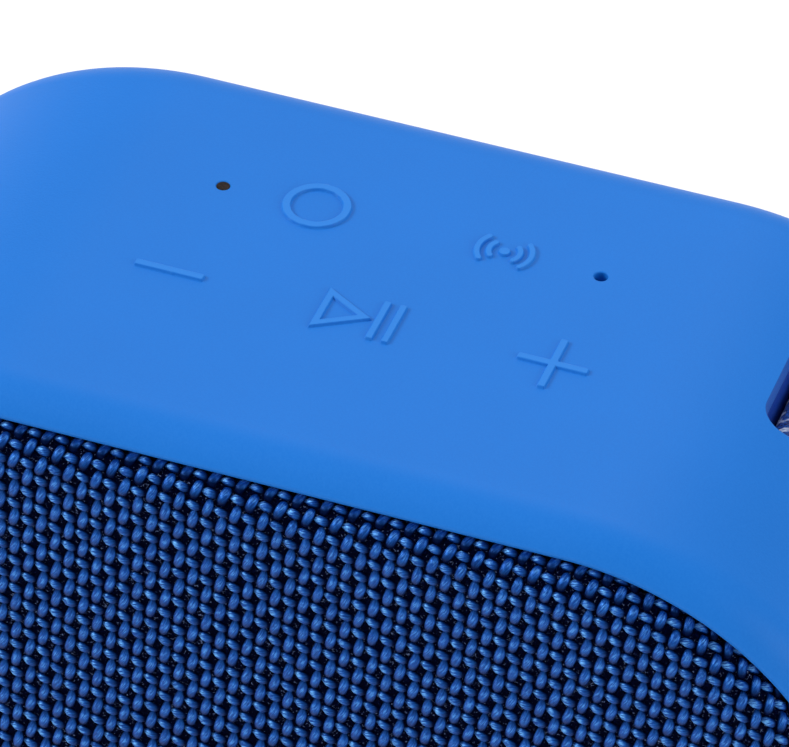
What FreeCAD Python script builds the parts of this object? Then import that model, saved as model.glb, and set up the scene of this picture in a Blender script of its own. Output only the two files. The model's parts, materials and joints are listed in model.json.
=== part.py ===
"""Compact portable speaker: silicone-skinned body, cloth grille, five keys, strap loop.

Millimetres.  X to the right, Y to the back, Z up.  The origin is the middle of the base,
on the surface that the speaker stands on.
"""
import FreeCAD, Part
import math
import os
import re

import Sketcher

Vector = FreeCAD.Vector
Rotation = FreeCAD.Rotation

# Every driving dimension, as sheet alias: value.
DIMENSIONS = {
    # outer body: a rounded rectangle seen from the front, extruded from front to back
    "body_width": 90.0,
    "body_height": 74.2,
    "body_front": -20.6,
    "body_back": 21.75,
    "corner_radius": 24.4,
    "front_fillet": 3.9,
    "back_fillet": 4.5,
    "foot_thick": 0.8,
    # silicone skin and its front lip
    "skin_thick": 1.5,
    "lip_front": -20.1,
    "lip_depth": 1.1,
    "lip_inset": 2.5,
    "play_gap": 0.05,
    # housing
    "wall_thick": 1.95,
    "shell_front": -16.1,
    "baffle_front": -18.9,
    "baffle_thick": 2.0,
    "post_radius": 2.6,
    "post_x": 24.0,
    "post_up": 29.5,
    "screw_radius": 0.8,
    "screw_head": 1.6,
    "head_thick": 1.1,
    # cloth grille
    "cloth_front": -21.75,
    "cloth_back": -19.0,
    "cloth_thick": 0.9,
    "cloth_inset": 2.6,
    "cloth_fillet": 2.6,
    "panel_thick": 1.2,
    "panel_round": 1.0,
    "panel_hole": 1.5,
    "panel_pitch": 5.0,
    # keys: raised symbols on round pads of the skin
    "key_radius": 4.2,
    "stem_radius": 1.5,
    "stem_length": 2.95,
    "front_row": -3.3,
    "back_row": 7.3,
    "volume_x": 14.35,
    "power_x": 7.1,
    "window_x": 14.35,
    "relief": 0.2,
    "stroke": 0.66,
    "symbol": 5.2,
    "window_radius": 0.48,
    # key board and main board
    "key_board_top": 68.0,
    "board_thick": 1.0,
    "switch_side": 3.5,
    "switch_high": 1.6,
    "plunger_radius": 0.8,
    "main_board_under": 10.0,
    # strap slot in the right shoulder
    "slot_left": 29.0,
    "slot_floor": 58.9,
    "slot_front": -1.9,
    "slot_back": 9.5,
    "slot_corner": 2.0,
    "cup_wall": 1.4,
    "bar_x": 31.0,
    "bar_up": 69.3,
    "bar_radius": 0.75,
    "strap_width": 8.0,
    "strap_thick": 0.9,
    "strap_wrap": 1.35,
    "strap_fall": 30.0,
    "strap_drop": 37.0,
    "strap_inner_x": 46.7,
    "strap_inner_bend": 3.0,
    "strap_outer_bend": 7.0,
    "strap_end_radius": 2.8,
    # driver, measured back from the rear face of the baffle
    "flange_radius": 22.0,
    "flange_thick": 1.2,
    "cone_radius": 15.5,
    "cone_depth": 5.5,
    "cone_thick": 0.5,
    "coil_radius": 6.6,
    "magnet_radius": 13.5,
    "magnet_thick": 4.0,
    "basket_depth": 10.0,
    # passive radiator in the back
    "radiator_width": 46.0,
    "radiator_height": 24.0,
    "radiator_up": 41.0,
    "radiator_plate_width": 30.0,
    "radiator_plate_height": 10.0,
    # charging port and its cover, in the back near the base
    "port_up": 12.7,
    "flap_width": 18.0,
    "flap_height": 8.0,
    "flap_corner": 2.5,
    "flap_gap": 0.15,
    # battery
    "cell_thick": 8.0,
    "cell_depth": 25.0,
    "cell_high": 35.0,
}

doc = FreeCAD.newDocument("speaker")
sheet = doc.addObject("Spreadsheet::Sheet", "Dims")
for line, (alias, amount) in enumerate(DIMENSIONS.items(), start=1):
    sheet.set(f"A{line}", alias)
    sheet.set(f"B{line}", str(amount))
    sheet.setAlias(f"B{line}", alias)
calculator = doc.addObject("App::FeaturePython", "Calculator")
calculator.addProperty("App::PropertyFloat", "result")
doc.recompute()

PIECES = []

MID_UP = "(foot_thick + body_height / 2)"
TOP_UP = "(foot_thick + body_height)"
SHELL_INSET = "(skin_thick + play_gap)"
INNER_INSET = "(skin_thick + play_gap + wall_thick)"
INNER_BACK = "(body_back - skin_thick - play_gap - wall_thick)"
BAFFLE_REAR = "(baffle_front + baffle_thick)"
BOARD_UP = "(main_board_under + board_thick)"
SWITCH_FOOT = "(key_board_top - board_thick)"
PILOT = "(screw_radius + play_gap)"


def in_sheet(text):
    """The expression text with every alias turned into a reference to its cell."""

    def cell(word):
        return "Dims." + word[0] if word[0] in DIMENSIONS else word[0]

    return re.sub(r"[a-z_]+", cell, str(text))


def number(text):
    """The value that an expression in the sheet's aliases has now."""
    calculator.setExpression("result", in_sheet(text))
    calculator.recompute()
    return calculator.result


def bind(thing, **properties):
    """Binds properties, with dots written as two underscores, to expressions."""
    for name, text in properties.items():
        thing.setExpression(name.replace("__", "."), in_sheet(text))


def move(thing, at):
    for axis, text in zip("xyz", at):
        thing.setExpression("Placement.Base." + axis, in_sheet(text))


def keep(thing, label, at=None, turn=None):
    """Names a finished sub-part, puts it in its place and lists it for export."""
    thing.Label = label
    if turn is not None:
        thing.Placement = FreeCAD.Placement(Vector(), turn)
    if at is not None:
        move(thing, at)
    PIECES.append(thing)
    return thing


# Ways to lie: a local Z axis that points back, forward or down.
BACKWARD = Rotation(Vector(1, 0, 0), -90)
FORWARD = Rotation(Vector(1, 0, 0), 90)
DOWNWARD = Rotation(Vector(1, 0, 0), 180)


# ---- Part primitives -------------------------------------------------------------------

def box(width, depth, height, at):
    """A box whose low corner in X, Y and Z is `at`."""
    thing = doc.addObject("Part::Box", "block")
    bind(thing, Length=width, Width=depth, Height=height)
    move(thing, at)
    return thing


def middle_box(width, depth, height, at):
    """A box with the middle of its underside at `at`."""
    across, along, up = at
    return box(width, depth, height, (f"{across} - ({width}) / 2", f"{along} - ({depth}) / 2", up))


def rod(radius, length, at=("0", "0", "0"), turn=None):
    thing = doc.addObject("Part::Cylinder", "rod")
    bind(thing, Radius=radius, Height=length)
    if turn is not None:
        thing.Placement = FreeCAD.Placement(Vector(), turn)
    move(thing, at)
    return thing


def cone(low_radius, high_radius, length, start="0"):
    thing = doc.addObject("Part::Cone", "cone")
    bind(thing, Radius1=low_radius, Radius2=high_radius, Height=length)
    move(thing, ("0", "0", start))
    return thing


def fuse(*things):
    thing = doc.addObject("Part::MultiFuse", "union")
    thing.Shapes = list(things)
    return thing


def cut(base, *tools):
    for tool in tools:
        thing = doc.addObject("Part::Cut", "cut")
        thing.Base = base
        thing.Tool = tool
        base = thing
    return base


def group(things):
    thing = doc.addObject("Part::Compound", "group")
    thing.Links = list(things)
    return thing


def tube(outer, inner, length, start="0"):
    """A ring about the local Z axis."""
    at = ("0", "0", start)
    return cut(rod(outer, length, at), rod(inner, length, at))


# ---- PartDesign bodies -----------------------------------------------------------------

def new_body(label, at):
    body = doc.addObject("PartDesign::Body", label)
    return keep(body, label, at)


def sketch_on(body, plane, out="0"):
    """A sketch on one of the body's own origin planes, moved `out` along its normal."""
    sketch = body.newObject("Sketcher::SketchObject", "sketch")
    flat = next(f for f in body.Origin.OriginFeatures if f.Role == plane)
    sketch.AttachmentSupport = (flat, [""])
    sketch.MapMode = "FlatFace"
    sketch.setExpression("AttachmentOffset.Base.z", in_sheet(out))
    return sketch


def hold(sketch, constraint, text):
    """Adds a dimension to a sketch and binds it to an expression."""
    index = sketch.addConstraint(constraint)
    sketch.setExpression(f"Constraints[{index}]", in_sheet(text))


def rounded_rectangle(sketch, width, height, corner, across="0", up="0"):
    """A rectangle with round corners, its centre at (across, up) in the sketch."""
    half_w, half_h, round_r = number(width) / 2, number(height) / 2, number(corner)
    mid_x, mid_y = number(across), number(up)
    in_w, in_h = half_w - round_r, half_h - round_r
    first = sketch.GeometryCount
    for side in range(4):
        turn = side * math.pi / 2
        reach, run = (half_h, in_w) if side % 2 == 0 else (half_w, in_h)
        far, near = (in_w, in_h) if side % 2 == 0 else (in_h, in_w)
        out = Vector(math.sin(turn), -math.cos(turn), 0)
        along = Vector(math.cos(turn), math.sin(turn), 0)
        middle = Vector(mid_x, mid_y, 0)
        edge_mid = middle + out * reach
        sketch.addGeometry(Part.LineSegment(edge_mid - along * run, edge_mid + along * run))
        centre = middle + along * far + out * near
        circle = Part.Circle(centre, Vector(0, 0, 1), round_r)
        sketch.addGeometry(Part.ArcOfCircle(circle, turn - math.pi / 2, turn))
    for side in range(4):
        edge, arc = first + 2 * side, first + 2 * side + 1
        following = first + (2 * side + 2) % 8
        sketch.addConstraint(Sketcher.Constraint("Tangent", edge, 2, arc, 1))
        sketch.addConstraint(Sketcher.Constraint("Tangent", arc, 2, following, 1))
        level = "Horizontal" if side % 2 == 0 else "Vertical"
        sketch.addConstraint(Sketcher.Constraint(level, edge))
        if side:
            sketch.addConstraint(Sketcher.Constraint("Equal", first + 1, arc))
    hold(sketch, Sketcher.Constraint("Radius", first + 1, round_r), corner)
    hold(sketch, Sketcher.Constraint("DistanceX", first + 6, 1, first + 2, 1, 2 * half_w), width)
    hold(sketch, Sketcher.Constraint("DistanceY", first, 1, first + 4, 1, 2 * half_h), height)
    right_edge = Sketcher.Constraint("DistanceX", -1, 1, first + 2, 1, mid_x + half_w)
    hold(sketch, right_edge, f"{across} + ({width}) / 2")
    top_edge = Sketcher.Constraint("DistanceY", -1, 1, first + 4, 1, mid_y + half_h)
    hold(sketch, top_edge, f"{up} + ({height}) / 2")


def circle_in(sketch, radius, across="0", up="0"):
    """A circle held by its radius and its centre's place."""
    place = Vector(number(across), number(up), 0)
    index = sketch.addGeometry(Part.Circle(place, Vector(0, 0, 1), number(radius)))
    hold(sketch, Sketcher.Constraint("Radius", index, number(radius)), radius)
    hold(sketch, Sketcher.Constraint("DistanceX", -1, 1, index, 3, place.x), across)
    hold(sketch, Sketcher.Constraint("DistanceY", -1, 1, index, 3, place.y), up)


def outline_in(sketch, corners):
    """A closed outline of straight lines."""
    points = [Vector(x, y, 0) for x, y in corners]
    for start, end in zip(points, points[1:] + points[:1]):
        sketch.addGeometry(Part.LineSegment(start, end))


def feature(body, kind, sketch, length, back=False):
    """A Pad or Pocket of a sketch.  `back` sends it against its usual direction."""
    before = body.Shape.Volume if body.Tip else 0.0
    step = body.newObject("PartDesign::" + kind, kind.lower())
    step.Profile = sketch
    step.Reversed = back
    bind(step, Length=length)
    doc.recompute()
    grown = step.Shape.Volume - before
    if (kind == "Pad") != (grown > 0) or abs(grown) < 1e-6:
        raise RuntimeError(f"{body.Label}: {kind} changed the volume by {grown:.4f}")
    return step


def fillet_level(body, level, radius):
    """Rounds the edges that lie flat at depth `level` in the body's own Y."""
    base = body.Tip
    found = []
    for index, edge in enumerate(base.Shape.Edges, start=1):
        bounds = edge.BoundBox
        if abs(bounds.YMin - level) < 1e-4 and abs(bounds.YMax - level) < 1e-4:
            found.append(f"Edge{index}")
    rounding = body.newObject("PartDesign::Fillet", "fillet")
    rounding.Base = (base, found)
    bind(rounding, Radius=radius)
    doc.recompute()
    return rounding


def shell_outline(sketch, inset):
    """The body's front-view outline, drawn in by `inset`."""
    rounded_rectangle(
        sketch,
        f"body_width - 2 * {inset}",
        f"body_height - 2 * {inset}",
        f"corner_radius - {inset}",
    )


# ---- skin and housing ------------------------------------------------------------------

KEYS = {
    "power_key": ("-power_x", "back_row"),
    "pairing_key": ("power_x", "back_row"),
    "volume_down_key": ("-volume_x", "front_row"),
    "play_key": ("0", "front_row"),
    "volume_up_key": ("volume_x", "front_row"),
}
POSTS = [(side, level) for side in ("-", "") for level in ("-", "")]
STANDS = [(across, along) for across in ("-17", "17") for along in ("-3", "14")]
HANGERS = [(across, "3") for across in ("-19.2", "19.2")]
DRIVER_BOLT = "(flange_radius - 1.9) * 0.7071"


def top_pocket(body, draw, depth, front, top="body_height / 2"):
    """Cuts down from the top: `draw` adds outlines to a sketch seen from above."""
    sketch = sketch_on(body, "XY_Plane", top)
    draw(sketch, front)
    feature(body, "Pocket", sketch, depth)


def draw_key_holes(sketch, front, radius="key_radius + play_gap"):
    for across, along in KEYS.values():
        circle_in(sketch, radius, across, f"{along} - ({front})")


def draw_windows(sketch, front, radius="window_radius + play_gap / 2"):
    for side in ("-", ""):
        circle_in(sketch, radius, f"{side}window_x", f"back_row - ({front})")


def draw_slot(sketch, front, wall="0", corner="slot_corner"):
    """The strap slot seen from above, open past the body's right side."""
    left = f"(slot_left - {wall})"
    width = f"(body_width / 2 + 4 - {left})"
    depth = f"(slot_back - slot_front + 2 * {wall})"
    middle = (f"{left} + {width} / 2", f"(slot_front + slot_back) / 2 - ({front})")
    rounded_rectangle(sketch, width, depth, corner, *middle)


def silicone_skin():
    front = "body_front"
    body = new_body("silicone_skin", ("0", front, MID_UP))
    sketch = sketch_on(body, "XZ_Plane")
    shell_outline(sketch, "0")
    feature(body, "Pad", sketch, "body_back - body_front", back=True)
    fillet_level(body, 0.0, "front_fillet")
    fillet_level(body, number("body_back - body_front"), "back_fillet")
    lip = sketch_on(body, "XZ_Plane")
    shell_outline(lip, "0")
    feature(body, "Pocket", lip, "lip_front - body_front")
    mouth = sketch_on(body, "XZ_Plane")
    shell_outline(mouth, "lip_inset")
    feature(body, "Pocket", mouth, "lip_front + lip_depth + 0.5 - body_front")
    hollow = sketch_on(body, "XZ_Plane", "body_front - lip_front - lip_depth")
    shell_outline(hollow, "skin_thick")
    feature(body, "Pocket", hollow, "body_back - skin_thick - lip_front - lip_depth")
    fillet_level(body, number("body_back - skin_thick - body_front"), "back_fillet - skin_thick")
    top_pocket(body, draw_key_holes, "skin_thick * 2", front)
    top_pocket(body, draw_windows, "skin_thick * 2", front)
    top_pocket(body, draw_slot, f"{TOP_UP} - slot_floor", front)
    backs = sketch_on(body, "XZ_Plane", "body_front - body_back + skin_thick * 2")
    radiator_at, port_at = ("0", f"radiator_up - {MID_UP}"), ("0", f"port_up - {MID_UP}")
    end = "radiator_height / 2 - 0.01"
    rounded_rectangle(backs, "radiator_width", "radiator_height", end, *radiator_at)
    rounded_rectangle(
        backs, "flap_width + 2 * flap_gap", "flap_height + 2 * flap_gap", "flap_corner + flap_gap", *port_at
    )
    feature(body, "Pocket", backs, "skin_thick * 3")


def rear_shell():
    front = "shell_front"
    body = new_body("rear_shell", ("0", front, MID_UP))
    outer_back = "(body_back - skin_thick - play_gap)"
    sketch = sketch_on(body, "XZ_Plane")
    shell_outline(sketch, SHELL_INSET)
    feature(body, "Pad", sketch, f"{outer_back} - shell_front", back=True)
    fillet_level(body, number(f"{outer_back} - shell_front"), "back_fillet - skin_thick - play_gap")
    hollow = sketch_on(body, "XZ_Plane")
    shell_outline(hollow, INNER_INSET)
    feature(body, "Pocket", hollow, f"{INNER_BACK} - shell_front")
    posts = sketch_on(body, "XZ_Plane", f"shell_front - {INNER_BACK}")
    holes = sketch_on(body, "XZ_Plane")
    for side, level in POSTS:
        circle_in(posts, "post_radius", f"{side}post_x", f"{level}post_up")
        circle_in(holes, PILOT, f"{side}post_x", f"{level}post_up")
    feature(body, "Pad", posts, f"{INNER_BACK} - shell_front")
    feature(body, "Pocket", holes, "10")
    stands = sketch_on(body, "XY_Plane", f"main_board_under - {MID_UP}")
    for across, along in STANDS:
        circle_in(stands, "2", across, f"{along} - shell_front")
    feature(body, "Pad", stands, f"main_board_under - foot_thick - {INNER_INSET} + 0.2", back=True)
    pilots = sketch_on(body, "XY_Plane", f"main_board_under - {MID_UP}")
    for across, along in STANDS:
        circle_in(pilots, PILOT, across, f"{along} - shell_front")
    feature(body, "Pocket", pilots, "4")
    hangers = sketch_on(body, "XY_Plane", f"key_board_top - {MID_UP}")
    for across, along in HANGERS:
        circle_in(hangers, "1.6", across, f"{along} - shell_front")
    feature(body, "Pad", hangers, f"{TOP_UP} - {INNER_INSET} - key_board_top + 0.2")
    threads = sketch_on(body, "XY_Plane", f"key_board_top - {MID_UP}")
    for across, along in HANGERS:
        circle_in(threads, PILOT, across, f"{along} - shell_front")
    feature(body, "Pocket", threads, "2.5", back=True)
    top_pocket(
        body,
        lambda sketch, start: draw_key_holes(sketch, start, "key_radius + 0.3"),
        "skin_thick + wall_thick + 0.5",
        front,
    )
    top_pocket(
        body,
        lambda sketch, start: draw_windows(sketch, start, "1.3"),
        "skin_thick + wall_thick + 0.5",
        front,
    )
    top_pocket(
        body,
        lambda sketch, start: draw_slot(sketch, start, "(cup_wall + play_gap)", "play_gap"),
        f"{TOP_UP} - slot_floor + cup_wall + play_gap",
        front,
    )
    backs = sketch_on(body, "XZ_Plane", "shell_front - body_back + skin_thick + wall_thick * 2")
    rounded_rectangle(
        backs, "radiator_width + 4", "radiator_height + 4", "radiator_height / 2 + 1.99",
        "0", f"radiator_up - {MID_UP}",
    )
    rounded_rectangle(backs, "9.1", "3.4", "0.05", "0", f"port_up - {MID_UP}")
    feature(body, "Pocket", backs, "wall_thick * 3")


def seal_ring():
    body = new_body("seal_ring", ("0", f"{BAFFLE_REAR} + play_gap", MID_UP))
    sketch = sketch_on(body, "XZ_Plane")
    shell_outline(sketch, f"({SHELL_INSET} + 0.1)")
    shell_outline(sketch, INNER_INSET)
    feature(body, "Pad", sketch, f"shell_front - {BAFFLE_REAR} - 2 * play_gap", back=True)


def front_baffle():
    body = new_body("front_baffle", ("0", "baffle_front", MID_UP))
    sketch = sketch_on(body, "XZ_Plane")
    shell_outline(sketch, SHELL_INSET)
    feature(body, "Pad", sketch, "baffle_thick", back=True)
    holes = sketch_on(body, "XZ_Plane")
    circle_in(holes, "flange_radius - 3")
    for side, level in POSTS:
        circle_in(holes, PILOT, f"{side}post_x", f"{level}post_up")
        circle_in(holes, PILOT, f"{side}{DRIVER_BOLT}", f"{level}{DRIVER_BOLT}")
    feature(body, "Pocket", holes, "baffle_thick")
    sinks = sketch_on(body, "XZ_Plane")
    for side, level in POSTS:
        circle_in(sinks, "screw_head + 0.2", f"{side}post_x", f"{level}post_up")
    feature(body, "Pocket", sinks, "head_thick")


def strap_cup():
    """The plastic cup behind the strap slot, its mouth following the rounded shoulder."""
    wall_front = "(slot_front - cup_wall)"
    body = new_body("strap_cup", ("0", wall_front, "0"))
    sketch = sketch_on(body, "XZ_Plane")
    radius = number(f"corner_radius - {SHELL_INSET}")
    middle = Vector(number("body_width / 2 - corner_radius"), number(f"{TOP_UP} - corner_radius"), 0)
    left = number("slot_left - cup_wall")
    under = number("slot_floor - cup_wall")
    low = math.asin((under - middle.y) / radius)
    high = math.acos((left - middle.x) / radius)
    rim = Part.ArcOfCircle(Part.Circle(middle, Vector(0, 0, 1), radius), low, high)
    sketch.addGeometry(rim)
    sketch.addGeometry(Part.LineSegment(rim.EndPoint, Vector(left, under, 0)))
    sketch.addGeometry(Part.LineSegment(Vector(left, under, 0), rim.StartPoint))
    feature(body, "Pad", sketch, "slot_back - slot_front + 2 * cup_wall", back=True)
    top_pocket(body, draw_slot, f"{TOP_UP} - slot_floor", wall_front, TOP_UP)
    bar_hole = sketch_on(body, "XZ_Plane")
    circle_in(bar_hole, "bar_radius + play_gap / 2", "bar_x", "bar_up")
    feature(body, "Pocket", bar_hole, "slot_back - slot_front + 2 * cup_wall")


def strap_bar():
    length = "slot_back - slot_front + 2 * cup_wall - 0.4"
    at = ("bar_x", "slot_front - cup_wall + 0.2", "bar_up")
    keep(rod("bar_radius", length), "strap_bar", at, BACKWARD)


def base_foot():
    """The rubber pad that the speaker stands on."""
    body = new_body("base_foot", ("0", "0", "0"))
    sketch = sketch_on(body, "XY_Plane")
    rounded_rectangle(sketch, "38", "24", "4")
    feature(body, "Pad", sketch, "foot_thick")


# ---- front grille ----------------------------------------------------------------------

def grille_cloth():
    """The woven cloth, wrapped over the grille panel's rounded edge."""
    body = new_body("grille_cloth", ("0", "cloth_front", MID_UP))
    sketch = sketch_on(body, "XZ_Plane")
    shell_outline(sketch, "cloth_inset")
    feature(body, "Pad", sketch, "cloth_back - cloth_front", back=True)
    fillet_level(body, 0.0, "cloth_fillet")
    hollow = sketch_on(body, "XZ_Plane", "-cloth_thick")
    shell_outline(hollow, "(cloth_inset + cloth_thick)")
    feature(body, "Pocket", hollow, "cloth_back - cloth_front - cloth_thick")


def grille_panel():
    """A stiff perforated plate behind the cloth, its front rim rounded."""
    inset = number("cloth_inset + cloth_thick + play_gap")
    width = number("body_width") - 2 * inset
    height = number("body_height") - 2 * inset
    corner = number("corner_radius") - inset
    thick = number("panel_thick")
    plate = Part.makeBox(width, thick, height, Vector(-width / 2, 0, -height / 2))
    plate = plate.makeFillet(corner, [e for e in plate.Edges if abs(e.BoundBox.YLength - thick) < 1e-6])
    front_rim = [edge for edge in plate.Edges if edge.BoundBox.YMax < 1e-6]
    plate = plate.makeFillet(number("panel_round"), front_rim)
    pitch = number("panel_pitch")
    radius = number("panel_hole")
    holes = []
    for row in range(-5, 6):
        for column in range(-7, 8):
            start = Vector((column + 0.5 * (row % 2)) * pitch, -thick, row * pitch)
            if math.hypot(start.x / (width / 2 - pitch), start.z / (height / 2 - pitch / 2)) < 1.0:
                holes.append(Part.makeCylinder(radius, 3 * thick, start, Vector(0, 1, 0)))
    panel = doc.addObject("Part::Feature", "grille_panel")
    panel.Shape = plate.cut(Part.makeCompound(holes))
    keep(panel, "grille_panel", ("0", "cloth_front + cloth_thick + play_gap", MID_UP))


# ---- driver ----------------------------------------------------------------------------

DRIVER_AT = ("0", f"{BAFFLE_REAR} + play_gap", MID_UP)
MAGNET_START = "(basket_depth + flange_thick)"


def driver_frame():
    flange = tube("flange_radius", "cone_radius + 2", "flange_thick")
    skirt = cut(
        cone("cone_radius + 2.9", "magnet_radius + 1", "basket_depth - flange_thick", "flange_thick"),
        cone("cone_radius + 1.9", "magnet_radius", "basket_depth - flange_thick", "flange_thick"),
    )
    floor = tube("magnet_radius + 1", "coil_radius + 2.6", "flange_thick", "basket_depth")
    bolts = [(f"{side}{DRIVER_BOLT}", f"{level}{DRIVER_BOLT}", "0") for side, level in POSTS]
    holes = [rod(PILOT, "flange_thick", at) for at in bolts]
    keep(cut(fuse(flange, skirt, floor), *holes), "driver_frame", DRIVER_AT, BACKWARD)


def driver_magnet():
    ring = tube("magnet_radius", "coil_radius + 0.5", "magnet_thick", f"{MAGNET_START} + 0.05")
    keep(ring, "driver_magnet", DRIVER_AT, BACKWARD)


def driver_yoke():
    start = f"{MAGNET_START} + magnet_thick + 0.1"
    plate = rod("magnet_radius", "1.5", ("0", "0", start))
    pole = rod("coil_radius - 1.1", "magnet_thick + 0.3", ("0", "0", f"{MAGNET_START} - 0.1"))
    keep(fuse(plate, pole), "driver_yoke", DRIVER_AT, BACKWARD)


def driver_surround():
    land = tube("cone_radius + 3.3", "cone_radius + 2.2", "0.5", "-0.6")
    roll = tube("cone_radius + 2.8", "cone_radius + 0.3", "0.5", "-0.9")
    keep(fuse(land, roll), "driver_surround", DRIVER_AT, BACKWARD)


def driver_spider():
    disc = tube("magnet_radius - 0.6", "coil_radius + 0.4", "0.4", "basket_depth - 1.4")
    keep(disc, "driver_spider", DRIVER_AT, BACKWARD)


def driver_cone():
    paper = cut(
        cone("cone_radius", "coil_radius + 0.1", "cone_depth"),
        cone("cone_radius - cone_thick * 2", "coil_radius - cone_thick", "cone_depth"),
    )
    keep(paper, "driver_cone", DRIVER_AT, BACKWARD)


def voice_coil():
    length = "basket_depth - cone_depth + 2.5"
    former = tube("coil_radius", "coil_radius - 0.5", length, "cone_depth + 0.02")
    keep(former, "voice_coil", DRIVER_AT, BACKWARD)


def dust_cap():
    cap = doc.addObject("Part::Sphere", "cap")
    bind(cap, Radius="9")
    cap.Angle1 = 46.0
    cap.Angle2 = 90.0
    depth = f"{BAFFLE_REAR} + cone_depth - 1.2 + 9 * sin(46)"
    keep(cap, "dust_cap", ("0", depth, MID_UP), FORWARD)


def screw(at, length, turn):
    """A screw with its head's top at `at`, its shank along the turned local Z."""
    head = rod("screw_head", "head_thick")
    shank = rod("screw_radius", length, ("0", "0", "head_thick"))
    slot = middle_box("1.8", "0.4", "0.5", ("0", "0", "0"))
    whole = cut(fuse(head, shank), slot)
    whole.Placement = FreeCAD.Placement(Vector(), turn)
    move(whole, at)
    return whole


def driver_screws():
    screws = []
    behind = f"{BAFFLE_REAR} + play_gap + flange_thick + 0.05 + head_thick"
    for side, level in POSTS:
        at = (f"{side}{DRIVER_BOLT}", behind, f"{MID_UP} + {level}{DRIVER_BOLT}")
        screws.append(screw(at, "flange_thick + baffle_thick", FORWARD))
    keep(group(screws), "driver_screws")


def housing_screws():
    screws = []
    for side, level in POSTS:
        at = (f"{side}post_x", "baffle_front", f"{MID_UP} + {level}post_up")
        screws.append(screw(at, "9", BACKWARD))
    keep(group(screws), "housing_screws")


# ---- passive radiator ------------------------------------------------------------------

def racetrack_ring(label, outer, inner, thick, start):
    """A flat racetrack ring in the back wall: outer and inner are how far each stands out."""
    body = new_body(label, ("0", start, "radiator_up"))
    sketch = sketch_on(body, "XZ_Plane")
    for width, height in (outer, inner):
        rounded_rectangle(sketch, width, height, f"({height}) / 2 - 0.01")
    feature(body, "Pad", sketch, thick, back=True)


def passive_radiator():
    racetrack_ring(
        "radiator_frame",
        ("radiator_width + 3.9", "radiator_height + 3.9"),
        ("radiator_width", "radiator_height"),
        "wall_thick - 0.05",
        INNER_BACK,
    )
    racetrack_ring(
        "radiator_surround",
        ("radiator_width - 0.1", "radiator_height - 0.1"),
        ("radiator_plate_width + 0.6", "radiator_plate_height + 0.6"),
        "0.8",
        f"{INNER_BACK} + 0.3",
    )
    plate = new_body("radiator_plate", ("0", f"{INNER_BACK} - 0.6", "radiator_up"))
    sketch = sketch_on(plate, "XZ_Plane")
    rounded_rectangle(
        sketch, "radiator_plate_width", "radiator_plate_height", "radiator_plate_height / 2 - 0.01"
    )
    feature(plate, "Pad", sketch, "2.6", back=True)


# ---- keys ------------------------------------------------------------------------------

def bar_outline(sketch, width, height, across=0.0):
    left, right = across - width / 2, across + width / 2
    low, high = -height / 2, height / 2
    outline_in(sketch, [(left, low), (right, low), (right, high), (left, high)])


def minus_symbol(sketch):
    bar_outline(sketch, number("symbol"), number("stroke"))


def plus_symbol(sketch):
    arm, half = number("symbol") / 2, number("stroke") / 2
    quarter = [(arm, -half), (arm, half), (half, half)]
    corners = []
    for turn in range(4):
        cosine, sine = round(math.cos(turn * math.pi / 2)), round(math.sin(turn * math.pi / 2))
        corners += [(x * cosine - y * sine, x * sine + y * cosine) for x, y in quarter]
    outline_in(sketch, corners)


def ring_symbol(sketch):
    for radius in ("symbol / 2", "symbol / 2 - stroke"):
        circle_in(sketch, radius)


def play_symbol(sketch):
    """A hollow triangle and two bars."""
    left, right, half = -3.1, 0.85, 2.3
    stroke = number("stroke") * 0.8
    slope = math.hypot(half, right - left) / half
    tip = right - left
    outline_in(sketch, [(left, -half), (right, 0.0), (left, half)])
    inner_left = left + stroke
    inner_half = half - stroke * (slope + 1) * half / tip
    inner_tip = right - stroke * slope
    outline_in(sketch, [(inner_left, -inner_half), (inner_tip, 0.0), (inner_left, inner_half)])
    for across in (1.35, 2.6):
        bar_outline(sketch, stroke, number("symbol") * 0.86, across)


def broadcast_symbol(sketch):
    """A dot with two arcs on each side."""
    stroke = number("stroke")
    circle_in(sketch, "stroke * 0.75")
    for middle_radius in (1.5, 2.6):
        low, high = middle_radius - stroke * 0.4, middle_radius + stroke * 0.4
        for facing in (0.0, math.pi):
            half_angle = math.radians(42)
            arcs = []
            for radius in (low, high):
                circle = Part.Circle(Vector(0, 0, 0), Vector(0, 0, 1), radius)
                arcs.append(Part.ArcOfCircle(circle, facing - half_angle, facing + half_angle))
            for arc in arcs:
                sketch.addGeometry(arc)
            sketch.addGeometry(Part.LineSegment(arcs[0].StartPoint, arcs[1].StartPoint))
            sketch.addGeometry(Part.LineSegment(arcs[0].EndPoint, arcs[1].EndPoint))


SYMBOLS = {
    "power_key": ring_symbol,
    "pairing_key": broadcast_symbol,
    "volume_down_key": minus_symbol,
    "play_key": play_symbol,
    "volume_up_key": plus_symbol,
}


def key(label):
    """A round pad of the skin with its raised symbol on top and a stem below."""
    across, along = KEYS[label]
    body = new_body(label, (across, along, TOP_UP))
    disc = sketch_on(body, "XY_Plane")
    circle_in(disc, "key_radius")
    feature(body, "Pad", disc, "skin_thick", back=True)
    stem = sketch_on(body, "XY_Plane", "-skin_thick")
    circle_in(stem, "stem_radius")
    feature(body, "Pad", stem, "stem_length", back=True)
    symbol = sketch_on(body, "XY_Plane")
    SYMBOLS[label](symbol)
    feature(body, "Pad", symbol, "relief")


# ---- boards and electronics ------------------------------------------------------------

def key_board():
    board = box("42", "20.5", "board_thick", ("-21", "-8.5", SWITCH_FOOT))
    holes = [rod(PILOT, "board_thick", (*at, SWITCH_FOOT)) for at in HANGERS]
    keep(cut(board, *holes), "key_board")


def tact_switches():
    switches = []
    for across, along in KEYS.values():
        case = middle_box("switch_side", "switch_side", "switch_high", (across, along, "key_board_top"))
        plunger = rod("plunger_radius", "0.6", (across, along, "key_board_top + switch_high"))
        switches.append(fuse(case, plunger))
    keep(group(switches), "tact_switches")


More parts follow.
